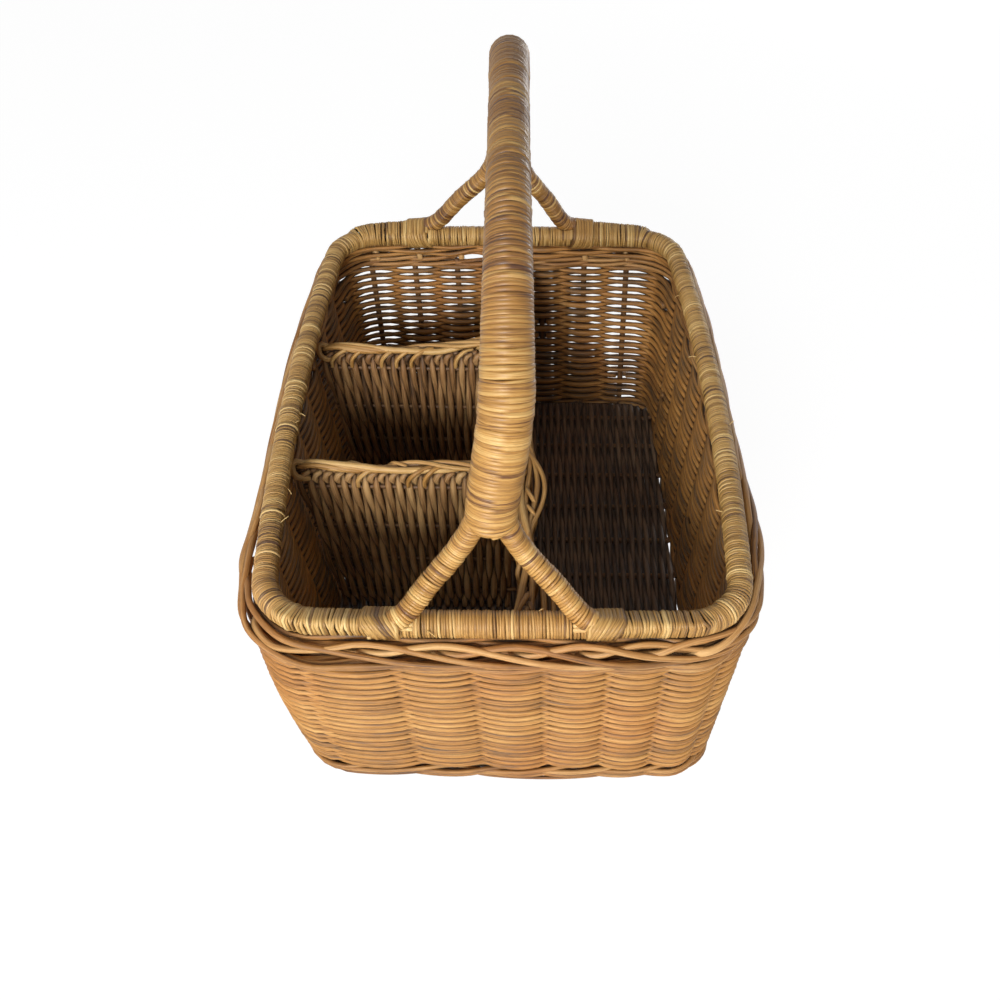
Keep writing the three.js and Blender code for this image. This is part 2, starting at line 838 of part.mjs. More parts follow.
function legWrapShares(side, end) {
  const curve = legCurve(side, end);
  const reach = footSpread(end) + legWrapPast;
  const from = shareWhere(curve, (p) => p.z < forkAt(end) + legWrapTuck);
  const to = shareWhere(curve, (p) => p.z < forkAt(end) && Math.abs(p.x - footMiddleX) > reach);
  return [from, to];
}

const legWrapInner = acrossFacets(legCaneRadius + 2 * clearance);
const legWrapOuter = acrossFacets(legCaneRadius + 2 * clearance + caneThickness);

function legWrapRod(side, end, radius, overrun = 0) {
  const [from, to] = legWrapShares(side, end);
  const start = Math.max(from - overrun, 0);
  return legRod(side, end, start, to + overrun, legWrapSteps, ringSides, () => radius);
}

// Foot lashing: cane wound in one unbroken helix round the hoop, foot cane and their wrap.

// The layer between the canes and the middle of the lashing's own cane.
const lashingLayer = 2 * clearance + endWrapThickness + lashingCaneRadius + lashingSlack;
let leastLashingGap = Infinity;

function lashingEnds(side, end) {
  const start = footSpread(end) + lashingLag;
  return [start, start + lashingTurns * lashingPitch].map((x) => legFootTurn(side, end, x));
}

function lashingPath(side, end) {
  const [from, to] = lashingEnds(side, end);
  return (t) => {
    const turn = lerp(from, to, t);
    const angle = side * end * t * lashingTurns * 2 * Math.PI + Math.PI / 2;
    const [across, round] = stackEdge(turn, angle, lashingLayer);
    const out = outwardAt(turn);
    const lift = new THREE.Vector3(0, 0, 1);
    const [cosine, sine] = [Math.cos(footStackAngle), Math.sin(footStackAngle)];
    const axis = out.clone().multiplyScalar(cosine).addScaledVector(lift, sine);
    const flat = out.clone().multiplyScalar(-sine).addScaledVector(lift, cosine);
    return stackPoint(turn, 0.5).addScaledVector(axis, across).addScaledVector(flat, round);
  };
}

function measureLashing(path) {
  const samples = lashingTurns * 24;
  const points = Array.from({ length: samples + 1 }, (_, i) => path(i / samples));
  points.forEach((p, i) => {
    for (let j = i + 14; j <= samples; j += 1) {
      leastLashingGap = Math.min(leastLashingGap, p.distanceTo(points[j]) - 2 * lashingCaneRadius);
    }
  });
}

function lashingSolid(side, end) {
  const path = lashingPath(side, end);
  measureLashing(path);
  const [from, to] = lashingEnds(side, end);
  const hint = rimPoint(to).sub(rimPoint(from)).normalize();
  return rodSolid(path, lashingTurns * 14, 5, hint, roundSection(lashingCaneRadius));
}

const corners = [
  ["front_left", -1, -1],
  ["front_right", 1, -1],
  ["rear_left", -1, 1],
  ["rear_right", 1, 1],
];

function addRimAndHandle() {
  const fatRuns = [];
  const legWrapCuts = [];
  const foot = (side, end, x) => legFootTurn(side, end, x);
  corners.forEach(([name, side, end]) => {
    const from = foot(side, end, footSpread(end) - fatWrapLead);
    const to = foot(side, end, footRunEnd + footWrapPast);
    const past = (to - from) * 0.05;
    const outer = stackRun(from, to, clearance + endWrapThickness);
    const inner = stackRun(from - past, to + past, 2.5 * clearance);
    fatRuns.push({ name, outer, inner, from, to });
    legWrapCuts.push(legWrapRod(side, end, legWrapOuter + 3 * clearance, 0.012));
  });

  addPiece("rim_hoop", hoopSolid(), coreCane);
  fatRuns.forEach(({ name, outer, inner }, i) => {
    const solid = outer.subtract(inner).subtract(legWrapCuts[i]);
    addPiece(`foot_wrap_${name}`, largestBody(solid), wrapCane);
  });

  // The thin runs lie between the fat ones, a clearance short of each.
  const gapTurn = clearance / (4 * quarterRun);
  const frontX = frontFootSpread - fatWrapLead;
  const rearX = rearFootSpread - fatWrapLead;
  const sideX = footRunEnd + footWrapPast;
  const ends = [
    ["front", foot(-1, -1, frontX), foot(1, -1, frontX), endWrapRadius],
    ["rear", foot(1, 1, rearX), foot(-1, 1, rearX), endWrapRadius],
    ["right", foot(1, -1, sideX) - 1, foot(1, 1, sideX), wrapOuterRadius],
    ["left", foot(-1, 1, sideX), foot(-1, -1, sideX), wrapOuterRadius],
  ];
  ends.forEach(([name, from, to, radius]) => {
    const outer = rimRun(from + gapTurn, to - gapTurn, radius);
    const inner = rimRun(from - gapTurn, to + gapTurn, wrapInnerRadius);
    const solid = legWrapCuts.reduce((rest, cut) => rest.subtract(cut), outer.subtract(inner));
    addPiece(`rim_wrap_${name}`, largestBody(solid), wrapCane);
  });

  const canes = corners.map(([, side, end]) => legCaneSolid(side, end, clearance));
  const core = canes.reduce((rest, cane) => rest.subtract(cane), handleCoreSolid());
  corners.forEach(([name, side, end], i) => {
    addPiece(`leg_cane_${name}`, legCaneSolid(side, end), coreCane);
    addPiece(`foot_lashing_${name}`, lashingSolid(side, end), handleCane);
    addPiece(`leg_wrap_${name}`, legWrapSolid(side, end, fatRuns[i]), handleCane);
  });
  addPiece("handle_core", largestBody(core), coreCane);
  const gap = clearance / archLength;
  const tube = handleShell(0, gap, 1 - gap).subtract(handleShell(caneThickness));
  const wrap = canes.reduce((rest, cane) => rest.subtract(cane), tube);
  addPiece("handle_wrap", largestBody(wrap), handleCane);
}

// One leg's wrap, cut at the handle's wrap, at the basket's middle and where the lashing starts.
function legWrapSolid(side, end, fatRun) {
  const forkX = end < 0 ? handleFrontX : handleRearX;
  const outer = legWrapRod(side, end, legWrapOuter);
  const bore = legWrapRod(side, end, legWrapInner, 0.02);
  const reach = 2 * topHalfLength;
  const innerX = forkX + (side * clearance) / 2;
  const low = new THREE.Vector3(Math.min(innerX, side * reach), -reach, 0);
  const high = new THREE.Vector3(Math.max(innerX, side * reach), reach, forkAt(end) - clearance);
  const half = boxSolid(low, high);
  const guardX = footSpread(end) + lashingLag - lashingCaneRadius - clearance;
  const guardTurn = legFootTurn(side, end, guardX);
  const lashingGuard = stackRun(guardTurn, fatRun.to, lashingLayer + legGuard);
  const hoopGuard = rimRun(
    Math.min(fatRun.from, fatRun.to) - 0.02,
    Math.max(fatRun.from, fatRun.to) + 0.02,
    acrossFacets(hoopRadius + clearance),
  );
  const guards = [lashingGuard, hoopGuard, handleShell(-legGuard)];
  const tube = outer.subtract(bore).intersect(half);
  return largestBody(guards.reduce((rest, guard) => rest.subtract(guard), tube));
}

// The largest of a solid's separate bodies: slivers left by a cut are dropped.
function largestBody(solid) {
  const bodies = solid.decompose();
  return bodies.reduce((best, body) => (body.volume() > best.volume() ? body : best), bodies[0]);
}

// Dividers.

const far = 2 * topHalfLength;

function addDividers() {
  const low = floorTop + clearance;
  const half = dividerThickness / 2;
  const room = plateSolid(low, rimHeight, -walingThickness / 2 - clearance);
  const crossEnd = dividerX - half - clearance;
  const dividers = [
    ["long_divider", [dividerX - half, -far], [dividerX + half, far]],
    ["front_cross_divider", [-far, frontDividerY - half], [crossEnd, frontDividerY + half]],
    ["rear_cross_divider", [-far, rearDividerY - half], [crossEnd, rearDividerY + half]],
  ];
  const borders = [];
  const panelBox = ([, from, to], grow) =>
    boxSolid(
      new THREE.Vector3(from[0] - grow, from[1] - grow, low),
      new THREE.Vector3(to[0] + grow, to[1] + grow, dividerTop + grow),
    );
  const panels = dividers.map((divider) => panelBox(divider, clearance));
  dividers.forEach((divider, i) => {
    const [name, from, to] = divider;
    const lengthwise = i === 0;
    addPiece(`${name}_weave`, ribbedPanel(divider, low, lengthwise).intersect(room), innerRattan);
    const y = (from[1] + to[1]) / 2;
    const height = dividerTop + dividerBorderLift;
    const a = new THREE.Vector3(lengthwise ? dividerX : -far, lengthwise ? -far : y, height);
    const b = new THREE.Vector3(dividerX, lengthwise ? far : y, height);
    const hint = new THREE.Vector3(lengthwise ? 1 : 0, lengthwise ? 0 : 1, 0);
    const roll = (grow) =>
      rodSolid((t) => a.clone().lerp(b, t), 1, 10, hint, (t, angle) => [
        (dividerBorderHalfWidth + grow) * Math.cos(angle),
        (dividerBorderHalfHeight + grow) * Math.sin(angle),
      ]);
    let border = panels.reduce((rest, panel) => rest.subtract(panel), roll(0).intersect(room));
    if (i > 0) {
      border = border.subtract(borders[0]).subtract(longPanelGuard());
    }
    borders.push(roll(clearance));
    addPiece(`${name}_border`, largestBody(border), borderRattan);
  });
}

// A panel is thick at each horizontal stick and thin halfway between two.
function ribbedPanel([, from, to], low, lengthwise) {
  const levels = [low];
  stickHeights.forEach((height, i) => {
    levels.push(height);
    levels.push((height + (stickHeights[i + 1] ?? dividerTop)) / 2);
  });
  levels[levels.length - 1] = dividerTop;
  const [width, depth] = [to[0] - from[0], to[1] - from[1]];
  const geometry = new THREE.BoxGeometry(width, depth, 1, 1, 1, levels.length - 1);
  const position = geometry.attributes.position;
  for (let i = 0; i < position.count; i += 1) {
    const level = Math.round((position.getZ(i) + 0.5) * (levels.length - 1));
    const squeeze = stickHeights.includes(levels[level]) ? 1 : dividerWaist / dividerThickness;
    const x = position.getX(i) * (lengthwise ? squeeze : 1) + (from[0] + to[0]) / 2;
    const y = position.getY(i) * (lengthwise ? 1 : squeeze) + (from[1] + to[1]) / 2;
    position.setXYZ(i, x, y, levels[level]);
  }
  return solidFrom(geometry);
}

// Keeps the cross dividers' borders off the lengthwise panel.
function longPanelGuard() {
  const half = dividerThickness / 2 + clearance;
  return boxSolid(new THREE.Vector3(dividerX - half, -far, 0), new THREE.Vector3(far, far, far));
}

addFloor();
addStakes();
addWalls();
addBorder();
addRimAndHandle();
addDividers();

console.log(`foot lashing least gap between turns: ${leastLashingGap.toFixed(2)} mm`);

export default group;
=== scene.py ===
import bmesh
import bpy
import numpy as np
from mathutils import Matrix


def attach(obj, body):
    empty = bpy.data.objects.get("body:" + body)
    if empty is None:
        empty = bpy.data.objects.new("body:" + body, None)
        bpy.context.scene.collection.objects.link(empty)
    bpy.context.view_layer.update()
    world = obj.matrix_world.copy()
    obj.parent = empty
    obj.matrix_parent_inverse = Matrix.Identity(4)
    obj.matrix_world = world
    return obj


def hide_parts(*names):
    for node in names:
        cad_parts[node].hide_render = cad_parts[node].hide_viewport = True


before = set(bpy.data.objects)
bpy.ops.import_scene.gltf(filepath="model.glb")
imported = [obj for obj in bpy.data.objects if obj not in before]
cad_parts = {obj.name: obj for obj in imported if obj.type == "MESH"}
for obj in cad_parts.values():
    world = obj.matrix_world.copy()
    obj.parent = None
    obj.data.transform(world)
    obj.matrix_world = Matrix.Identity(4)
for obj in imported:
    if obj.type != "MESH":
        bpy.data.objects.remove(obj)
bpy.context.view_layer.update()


# Stakes.
# Ten round reeds run up one long wall, across under the floor and up the other. Six more stand in the
# front wall and seven in the rear. They are rattan core, 4 mm thick, bent wet, and carry all the weaving.

MM = 0.001
BASE_HALF_WIDTH, BASE_HALF_LENGTH, BASE_CORNER, BASE_BOW, BASE_SHIFT = 107.0, 155.0, 20.0, 1.5, 4.9
TOP_HALF_WIDTH, TOP_HALF_LENGTH, TOP_CORNER, TOP_BOW = 120.5, 170.0, 25.0, 7.5
END_BOW = 2.0
FRONT_LEFT_BULGE, BULGE_TURN, BULGE_REACH, BULGE_FORWARD = 3.0, 0.64, 0.08, 1 / 3
WALL_TOP = 124.0
STAKE_RADIUS, STAKE_TONE = 2.0, 0.45
STAKE_TIP_DROP = 3.0
STAKE_FOOT = 2.0
STAKE_RISE = (95.0, 60.0, 30.0)
STAKE_BEND = 5.0
STAKE_FLAT_RUNS = (1, 2.5, 6)
STAKE_STEP = 4.0
STAKE_POINTS = 30
CROSS_STAKES, CROSS_MARGIN, CROSS_SHIFT = 10, 16.5, -2.0
FRONT_STAKES, FRONT_LEFT_MARGIN, FRONT_RIGHT_MARGIN, FRONT_CROWDING = 6, 41.0, 20.0, 0.25
REAR_STAKES, REAR_LEFT_MARGIN, REAR_RIGHT_MARGIN = 7, 18.0, 26.0
FLOOR_MIDDLE = 6.6
FOOT_TOP = 9.5
TURN_STEP = 0.0004
TURN_SAMPLES = 4000
SPLINE_STEPS = 24
LEAST_KNOT_GAP = 1e-4
CAP_LENGTH, CAP_SHARE, CAP_WIDTH = 0.5, 0.7, 0.6
MERGE_DISTANCE = 1e-7
LEAST_FIBRE_RADIUS = 0.5
FIBRE_SHIFT_ALONG, FIBRE_SHIFT_ACROSS = 57.0, 3.7
ROUND_SIDES, PLAIN_SIDES = 8, 6

middle_corner = (BASE_CORNER + TOP_CORNER) / 2
side_run = (BASE_HALF_LENGTH + TOP_HALF_LENGTH) / 2 - middle_corner
corner_run = middle_corner * np.pi / 2
end_run = (BASE_HALF_WIDTH + TOP_HALF_WIDTH) / 2 - middle_corner
quarter_run = side_run + corner_run + end_run
side_share = side_run / quarter_run
corner_share = (side_run + corner_run) / quarter_run


def outline(turn, half_width, half_length, corner, bow):
    """Points of a bowed oblong. Turn 0 is the right side's middle, 0.25 the rear's and 0.75 the front's."""
    wrapped = np.mod(turn, 1.0)
    quarter = np.minimum(np.floor(wrapped * 4), 3)
    along = wrapped * 4 - quarter
    share = np.where(quarter % 2 == 0, along, 1 - along)
    a = half_width - bow
    b = half_length - END_BOW
    bend = np.clip((share - side_share) / (corner_share - side_share), 0, 1) * np.pi / 2
    on_side = share < side_share
    on_corner = share < corner_share
    end_x = (a - corner) * (1 - share) / (1 - corner_share)
    x = np.where(on_corner, a - corner + corner * np.cos(bend), end_x)
    y = np.where(on_corner, b - corner + corner * np.sin(bend), b)
    x = np.where(on_side, a, x)
    y = np.where(on_side, (b - corner) * share / side_share, y)
    bowed_x = x + bow * (1 - (y / b) ** 2) * (x / a)
    bowed_y = y + END_BOW * (1 - (x / a) ** 2) * (y / b)
    left = (quarter == 1) | (quarter == 2)
    return np.where(left, -bowed_x, bowed_x), np.where(quarter > 1, -bowed_y, bowed_y)


def offset_outline(turn, offset, curve):
    """A curve's points moved outwards, and the outward directions."""
    ahead = np.array(curve(turn + TURN_STEP))
    behind = np.array(curve(turn - TURN_STEP))
    tangent = ahead - behind
    tangent = tangent / np.hypot(tangent[0], tangent[1])
    x, y = curve(turn)
    return x + tangent[1] * offset, y - tangent[0] * offset, tangent[1], -tangent[0]


def wall_curve(turn, height):
    """The walls' middle line at a height; the front left corner is pushed out at half height."""
    share = height / WALL_TOP
    sizes = (
        (BASE_HALF_WIDTH, TOP_HALF_WIDTH),
        (BASE_HALF_LENGTH, TOP_HALF_LENGTH),
        (BASE_CORNER, TOP_CORNER),
        (BASE_BOW, TOP_BOW),
    )
    x, y = outline(turn, *(low + (high - low) * share for low, high in sizes))
    away = np.clip((np.mod(turn, 1.0) - BULGE_TURN) / BULGE_REACH, -1, 1)
    pushed = FRONT_LEFT_BULGE * np.sin(np.pi * np.clip(share, 0, 1)) * (1 - away**2) ** 2
    return x + BASE_SHIFT * (1 - np.minimum(share, 1)) - pushed, y - pushed * BULGE_FORWARD


def wall_point(turn, height, offset=0.0):
    """Places on the walls' middle line at a height, moved outwards by the offset."""
    turn, height, offset = np.broadcast_arrays(*(np.asarray(v, dtype=float) for v in (turn, height, offset)))
    x, y, _, _ = offset_outline(turn, offset, lambda t: wall_curve(t, height))
    return np.stack([x, y, height], axis=-1)


def turns_where(axis, height, values, low, high):
    """The turns between low and high where a wall's x or y takes the given values."""
    turns = np.linspace(low, high, TURN_SAMPLES)
    measure = wall_point(turns, height)[:, axis]
    order = np.argsort(measure)
    return np.interp(values, measure[order], turns[order])


def end_stake_turns(count, left_margin, right_margin, crowding, low, high):
    """The turns of a short wall's stakes; crowding sets them closer together towards the right."""
    share = np.arange(count) / (count - 1)
    left = BASE_SHIFT - BASE_HALF_WIDTH + left_margin
    right = BASE_SHIFT + BASE_HALF_WIDTH - right_margin
    places = left + (right - left) * (share + crowding * share * (1 - share))
    return turns_where(0, FOOT_TOP, places, low, high)


cross_pitch = 2 * (BASE_HALF_LENGTH - CROSS_MARGIN) / (CROSS_STAKES - 1)
cross_ys = CROSS_SHIFT + (np.arange(CROSS_STAKES) - (CROSS_STAKES - 1) / 2) * cross_pitch
right_turns = turns_where(1, FLOOR_MIDDLE, cross_ys, -0.2, 0.2)
left_turns = 0.5 - right_turns
front_turns = end_stake_turns(FRONT_STAKES, FRONT_LEFT_MARGIN, FRONT_RIGHT_MARGIN, FRONT_CROWDING, 0.55, 0.95)
rear_turns = end_stake_turns(REAR_STAKES, REAR_LEFT_MARGIN, REAR_RIGHT_MARGIN, 0.0, 0.05, 0.45)
stake_turns = np.sort(np.mod(np.concatenate([right_turns, rear_turns, left_turns, front_turns]), 1.0))
STAKES = len(stake_turns)


def turn_at(stake):
    """The turn at a place counted in stakes; whole numbers lie on a stake."""
    laps = np.floor(np.asarray(stake) / STAKES)
    knots = np.append(stake_turns, stake_turns[0] + 1)
    return laps + np.interp(stake - laps * STAKES, np.arange(STAKES + 1), knots)


def smooth(value, low, high):
    """Rises gently from 0 at low to 1 at high."""
    t = np.clip((value - low) / (high - low), 0, 1)
    return t * t * (3 - 2 * t)


def distances(points):
    """How far along a path each of its points lies."""
    return np.append(0, np.cumsum(np.linalg.norm(np.diff(points, axis=0), axis=1)))


def values_at(distance, run, values):
    """A path's points or directions at distances along it."""
    return np.stack([np.interp(distance, run, values[:, k]) for k in range(3)], axis=-1)


def smooth_path(points, spacing):
    """A centripetal spline through the points, sampled at equal steps."""
    p = np.asarray(points, dtype=float)
    p = np.vstack([2 * p[0] - p[1], p, 2 * p[-1] - p[-2]])
    samples = []
    for i in range(1, len(p) - 2):
        a, b, c, d = p[i - 1 : i + 3]
        t1 = max(np.linalg.norm(b - a) ** 0.5, LEAST_KNOT_GAP)
        t2 = t1 + max(np.linalg.norm(c - b) ** 0.5, LEAST_KNOT_GAP)
        t3 = t2 + max(np.linalg.norm(d - c) ** 0.5, LEAST_KNOT_GAP)
        t = np.linspace(t1, t2, SPLINE_STEPS, endpoint=False)[:, None]
        ab = (t1 - t) / t1 * a + t / t1 * b
        bc = (t2 - t) / (t2 - t1) * b + (t - t1) / (t2 - t1) * c
        cd = (t3 - t) / (t3 - t2) * c + (t - t2) / (t3 - t2) * d
        abc = (t2 - t) / t2 * ab + t / t2 * bc
        bcd = (t3 - t) / (t3 - t1) * bc + (t - t1) / (t3 - t1) * cd
        samples.append((t2 - t) / (t2 - t1) * abc + (t - t1) / (t2 - t1) * bcd)
    dense = np.vstack(samples + [p[-2]])
    return even_steps(dense, spacing)


def even_steps(points, spacing):
    """The same path with its points at equal distances."""
    run = distances(points)
    return values_at(np.linspace(0, run[-1], max(int(round(run[-1] / spacing)), 2) + 1), run, points)


def with_ends(points, radius):
    """Rounds a strand's two ends: the radius runs down to nothing over its last half thickness."""
    caps = []
    for end, inner, size in ((points[0], points[1], radius[0]), (points[-1], points[-2], radius[-1])):
        tip = end + (end - inner) / np.linalg.norm(end - inner) * size * CAP_LENGTH
        caps.append((tip, end + (tip - end) * CAP_SHARE, size * CAP_WIDTH))
    (head, near_head, head_size), (tail, near_tail, tail_size) = caps
    grown = np.concatenate([[0, head_size], radius, [tail_size, 0]])
    return np.vstack([head, near_head, points, near_tail, tail]), grown


def strand_mesh(name, strands, sides):
    """One mesh of round strands. Each is (points, radius, tone, closed), in mm, tone from 0 dark to 1 light.

    Its attributes are tone, and fibre: mm along the strand and across its own section.
    """
    curve = bpy.data.curves.new(name, "CURVE")
    curve.dimensions = "3D"
    curve.bevel_depth = MM
    curve.bevel_resolution = (sides - 4) // 2
    tones = []
    fibres = []
    ring = np.arange(sides) * 2 * np.pi / sides
    for number, (points, radius, tone, closed) in enumerate(strands):
        radius = np.broadcast_to(np.asarray(radius, dtype=float), len(points)).copy()
        tone = np.broadcast_to(np.asarray(tone, dtype=float), len(points))
        if not closed:
            points, radius = with_ends(points, radius)
            tone = np.concatenate([tone[:1], tone[:1], tone, tone[-1:], tone[-1:]])
        spline = curve.splines.new("POLY")
        spline.points.add(len(points) - 1)
        spline.points.foreach_set("co", np.c_[points * MM, np.ones(len(points))].ravel())
        spline.points.foreach_set("radius", radius)
        spline.use_cyclic_u = closed
        across = np.maximum(radius, LEAST_FIBRE_RADIUS)[:, None]
        fibre = np.empty((len(points), sides, 3))
        fibre[:, :, 0] = distances(points)[:, None] + FIBRE_SHIFT_ALONG * number
        fibre[:, :, 1] = across * np.cos(ring) + FIBRE_SHIFT_ACROSS * number
        fibre[:, :, 2] = across * np.sin(ring)
        fibres.append(fibre.reshape(-1, 3))
        tones.append(np.repeat(tone, sides))
    tube = bpy.data.objects.new(name, curve)
    bpy.context.collection.objects.link(tube)
    mesh = bpy.data.meshes.new_from_object(tube)
    bpy.data.objects.remove(tube)
    bpy.data.curves.remove(curve)
    mesh.attributes.new("tone", "FLOAT", "POINT").data.foreach_set("value", np.concatenate(tones))
    fibre_data = mesh.attributes.new("fibre", "FLOAT_VECTOR", "POINT").data
    fibre_data.foreach_set("vector", np.concatenate(fibres).ravel())
    shell = bmesh.new()
    shell.from_mesh(mesh)
    bmesh.ops.remove_doubles(shell, verts=shell.verts, dist=MERGE_DISTANCE)
    bmesh.ops.recalc_face_normals(shell, faces=shell.faces)
    for face in shell.faces:
        face.smooth = True
    shell.to_mesh(mesh)
    shell.free()
    return mesh


def woven_piece(name, strands, sides, finish, nodes):
    """Strands as one piece that stands for the given nodes."""
    piece = bpy.data.objects.new(name, strand_mesh(name, strands, sides))
    bpy.context.collection.objects.link(piece)
    piece.data.materials.append(finish)
    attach(piece, "root")
    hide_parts(*nodes)
    return piece


def linear(colour):
    """An sRGB hex colour as the linear values that a node takes."""
    levels = [int(colour[i : i + 2], 16) / 255 for i in (1, 3, 5)]
    return [v / 12.92 if v <= 0.04045 else ((v + 0.055) / 1.055) ** 2.4 for v in levels] + [1.0]


def add(tree, kind, sockets=None, **settings):
    """Adds a node. Each entry of sockets is a value for that input or another node's output to link to it."""
    node = tree.nodes.new(kind)
    for key, value in settings.items():
        setattr(node, key, value)
    for key, value in (sockets or {}).items():
        if isinstance(value, bpy.types.NodeSocket):
            tree.links.new(value, node.inputs[key])
        else:
            node.inputs[key].default_value = value
    return node


GRAIN_PER_MM = (0.04, 1.6, 1.6)
HIDDEN_GRAIN_PER_M = (900, 900, 60)
HIDDEN_TONE = 0.4
PATCH_PER_M, BLUSH_PER_M = (33, 33, 33), (12, 12, 12)
GRAIN_AMOUNT, MOTTLE_AMOUNT, PATCH_AMOUNT = 1.25, 0.3, 0.22
BLUSH_COLOUR, BLUSH_SHARE = "#f8d9c6", 0.3
DUST_AND_SHADE_SHARE = 0.6
SPECK_SHARE = 0.5
RAMP_STOPS = (0.08, 0.5, 0.95)
BLUSH_RANGE, SPECK_RANGE, OPEN_RANGE = (0.48, 0.66), (0.66, 0.76), (0.25, 0.88)
GROOVE_SHADE_COLOUR = "#2e2217"
RATTAN_IOR = 1.5
ROUGHNESS_SPREAD = 0.1
GRAIN_RELIEF, GRAIN_RELIEF_DEPTH = 0.4, 0.0003


def rattan(
    name, dark, middle, light, roughness=0.6, coat=0.0, own_fibre=True, dust_and_shade=None, groove_shade=(0.003, 0.85)
):
    """Rattan or cane: streaks along the strand's grain, slow patches over the object, and painted shade in
    the grooves.

    Real fibres are 0.2 mm wide, too fine to show here, so the grain is drawn 0.6 mm wide and 25 mm long.
    The mottling is some 8 by 4 mm, the patches are 30 mm wide and the reddish areas 80 mm. The dust entry is
    a duller colour and the two heights, in m, between which it sets in: dust, and painted shade along the
    top. The groove entry is how near, in m, a neighbour darkens the surface with painted shade, and how far.
    """
    material = bpy.data.materials.new(name)
    material.use_nodes = True
    tree = material.node_tree
    tree.nodes.clear()
    place = add(tree, "ShaderNodeTexCoord").outputs["Object"]
    if own_fibre:
        grain_place = add(tree, "ShaderNodeAttribute", attribute_name="fibre").outputs["Vector"]
        shade = add(tree, "ShaderNodeAttribute", attribute_name="tone").outputs["Fac"]
        along, across, depth = GRAIN_PER_MM
    else:
        grain_place = place
        shade = HIDDEN_TONE
        along, across, depth = HIDDEN_GRAIN_PER_M
    patterns = {}
    for key, source, scale, detail in (
        ("grain", grain_place, (along, across, depth), 3.0),
        ("mottle", grain_place, (along * 3, across / 6, depth / 6), 2.0),
        ("patch", place, PATCH_PER_M, 2.0),
        ("blush", place, BLUSH_PER_M, 1.0),
        ("speck", grain_place, (along * 3, across * 3, depth * 3), 1.0),
    ):
        spread = add(tree, "ShaderNodeMapping", {"Vector": source, "Scale": scale}).outputs[0]
        settings = {"Vector": spread, "Scale": 1.0, "Detail": detail, "Roughness": 0.6}
        patterns[key] = add(tree, "ShaderNodeTexNoise", settings).outputs[0]
    for key, amount in (("grain", GRAIN_AMOUNT), ("mottle", MOTTLE_AMOUNT), ("patch", PATCH_AMOUNT)):
        swing = {0: patterns[key], 1: amount, 2: -amount / 2}
        part = add(tree, "ShaderNodeMath", swing, operation="MULTIPLY_ADD").outputs[0]
        shade = add(tree, "ShaderNodeMath", {0: shade, 1: part}, operation="ADD").outputs[0]
    colours = add(tree, "ShaderNodeValToRGB", {"Fac": shade})
    stops = colours.color_ramp.elements
    stops.new(RAMP_STOPS[1])
    for stop, position, shown in zip(stops, RAMP_STOPS, (dark, middle, light)):
        stop.position = position
        stop.color = linear(shown)
    colour = colours.outputs[0]

    reach, darkening = groove_shade
    # Painted shade: the colour darkens towards a near-black brown where neighbouring strands are close, by
    # ambient occlusion.
    openness = add(tree, "ShaderNodeAmbientOcclusion", {"Distance": reach}, samples=6).outputs["AO"]
    layers = [(patterns["blush"], BLUSH_RANGE, (0.0, BLUSH_SHARE), BLUSH_COLOUR, "MULTIPLY")]
    # Dust and painted shade: above a height the colour is multiplied towards a dull grey brown.
    if dust_and_shade is not None:
        dusty_shade, low, high = dust_and_shade
        height = add(tree, "ShaderNodeSeparateXYZ", {"Vector": place}).outputs[2]
        layers.append((height, (low, high), (0.0, DUST_AND_SHADE_SHARE), dusty_shade, "MULTIPLY"))
    layers.append((patterns["speck"], SPECK_RANGE, (0.0, SPECK_SHARE), dark, "MIX"))
    layers.append((openness, OPEN_RANGE, (darkening, 0.0), GROOVE_SHADE_COLOUR, "MIX"))
    for source, (low, high), (first, last), other, blend in layers:
        limits = {"Value": source, "From Min": low, "From Max": high, "To Min": first, "To Max": last}
        share = add(tree, "ShaderNodeMapRange", limits).outputs[0]
        pair = {"Factor": share, 6: colour, 7: linear(other)}
        colour = add(tree, "ShaderNodeMix", pair, data_type="RGBA", blend_type=blend).outputs[2]

    grain = patterns["grain"]
    limits = {"Value": grain, "To Min": roughness - ROUGHNESS_SPREAD, "To Max": roughness + ROUGHNESS_SPREAD}
    relief = {"Height": grain, "Strength": GRAIN_RELIEF, "Distance": GRAIN_RELIEF_DEPTH}
    finish = {
        "Base Color": colour,
        "Roughness": add(tree, "ShaderNodeMapRange", limits).outputs[0],
        "Normal": add(tree, "ShaderNodeBump", relief).outputs[0],
        "IOR": RATTAN_IOR,
        "Coat Weight": coat,
        "Coat Roughness": 0.3,
    }
    surface = add(tree, "ShaderNodeBsdfPrincipled", finish).outputs[0]
    add(tree, "ShaderNodeOutputMaterial", {"Surface": surface})
    return material


# Peeled core, dulled where it is handled least: a brown reed with a dry sheen.
stake_reed = rattan("stake_reed", "#452c17", "#86603a", "#b98f5e", roughness=0.66)

stakes = []
for number, turn in enumerate(right_turns, start=1):
    halves = []
    for side_turn, inward in ((turn, -1), (0.5 - turn, 1)):
        corner = wall_point(side_turn, FLOOR_MIDDLE)
        heights = (WALL_TOP - STAKE_TIP_DROP, *STAKE_RISE, FLOOR_MIDDLE + STAKE_BEND)
        rise = [wall_point(side_turn, height) for height in heights]
        halves.append(rise + [corner + [inward * run * STAKE_BEND, 0, 0] for run in STAKE_FLAT_RUNS])
    path = smooth_path(halves[0] + halves[1][::-1], STAKE_STEP)
    stakes.append((f"across_{number}", f"cross_stake_{number}", path))
for side, turns in (("front", front_turns), ("rear", rear_turns)):
    for number, turn in enumerate(turns, start=1):
        path = wall_point(turn, np.linspace(STAKE_FOOT, WALL_TOP - STAKE_TIP_DROP, STAKE_POINTS))
        stakes.append((f"{side}_{number}", f"{side}_stake_{number}", path))
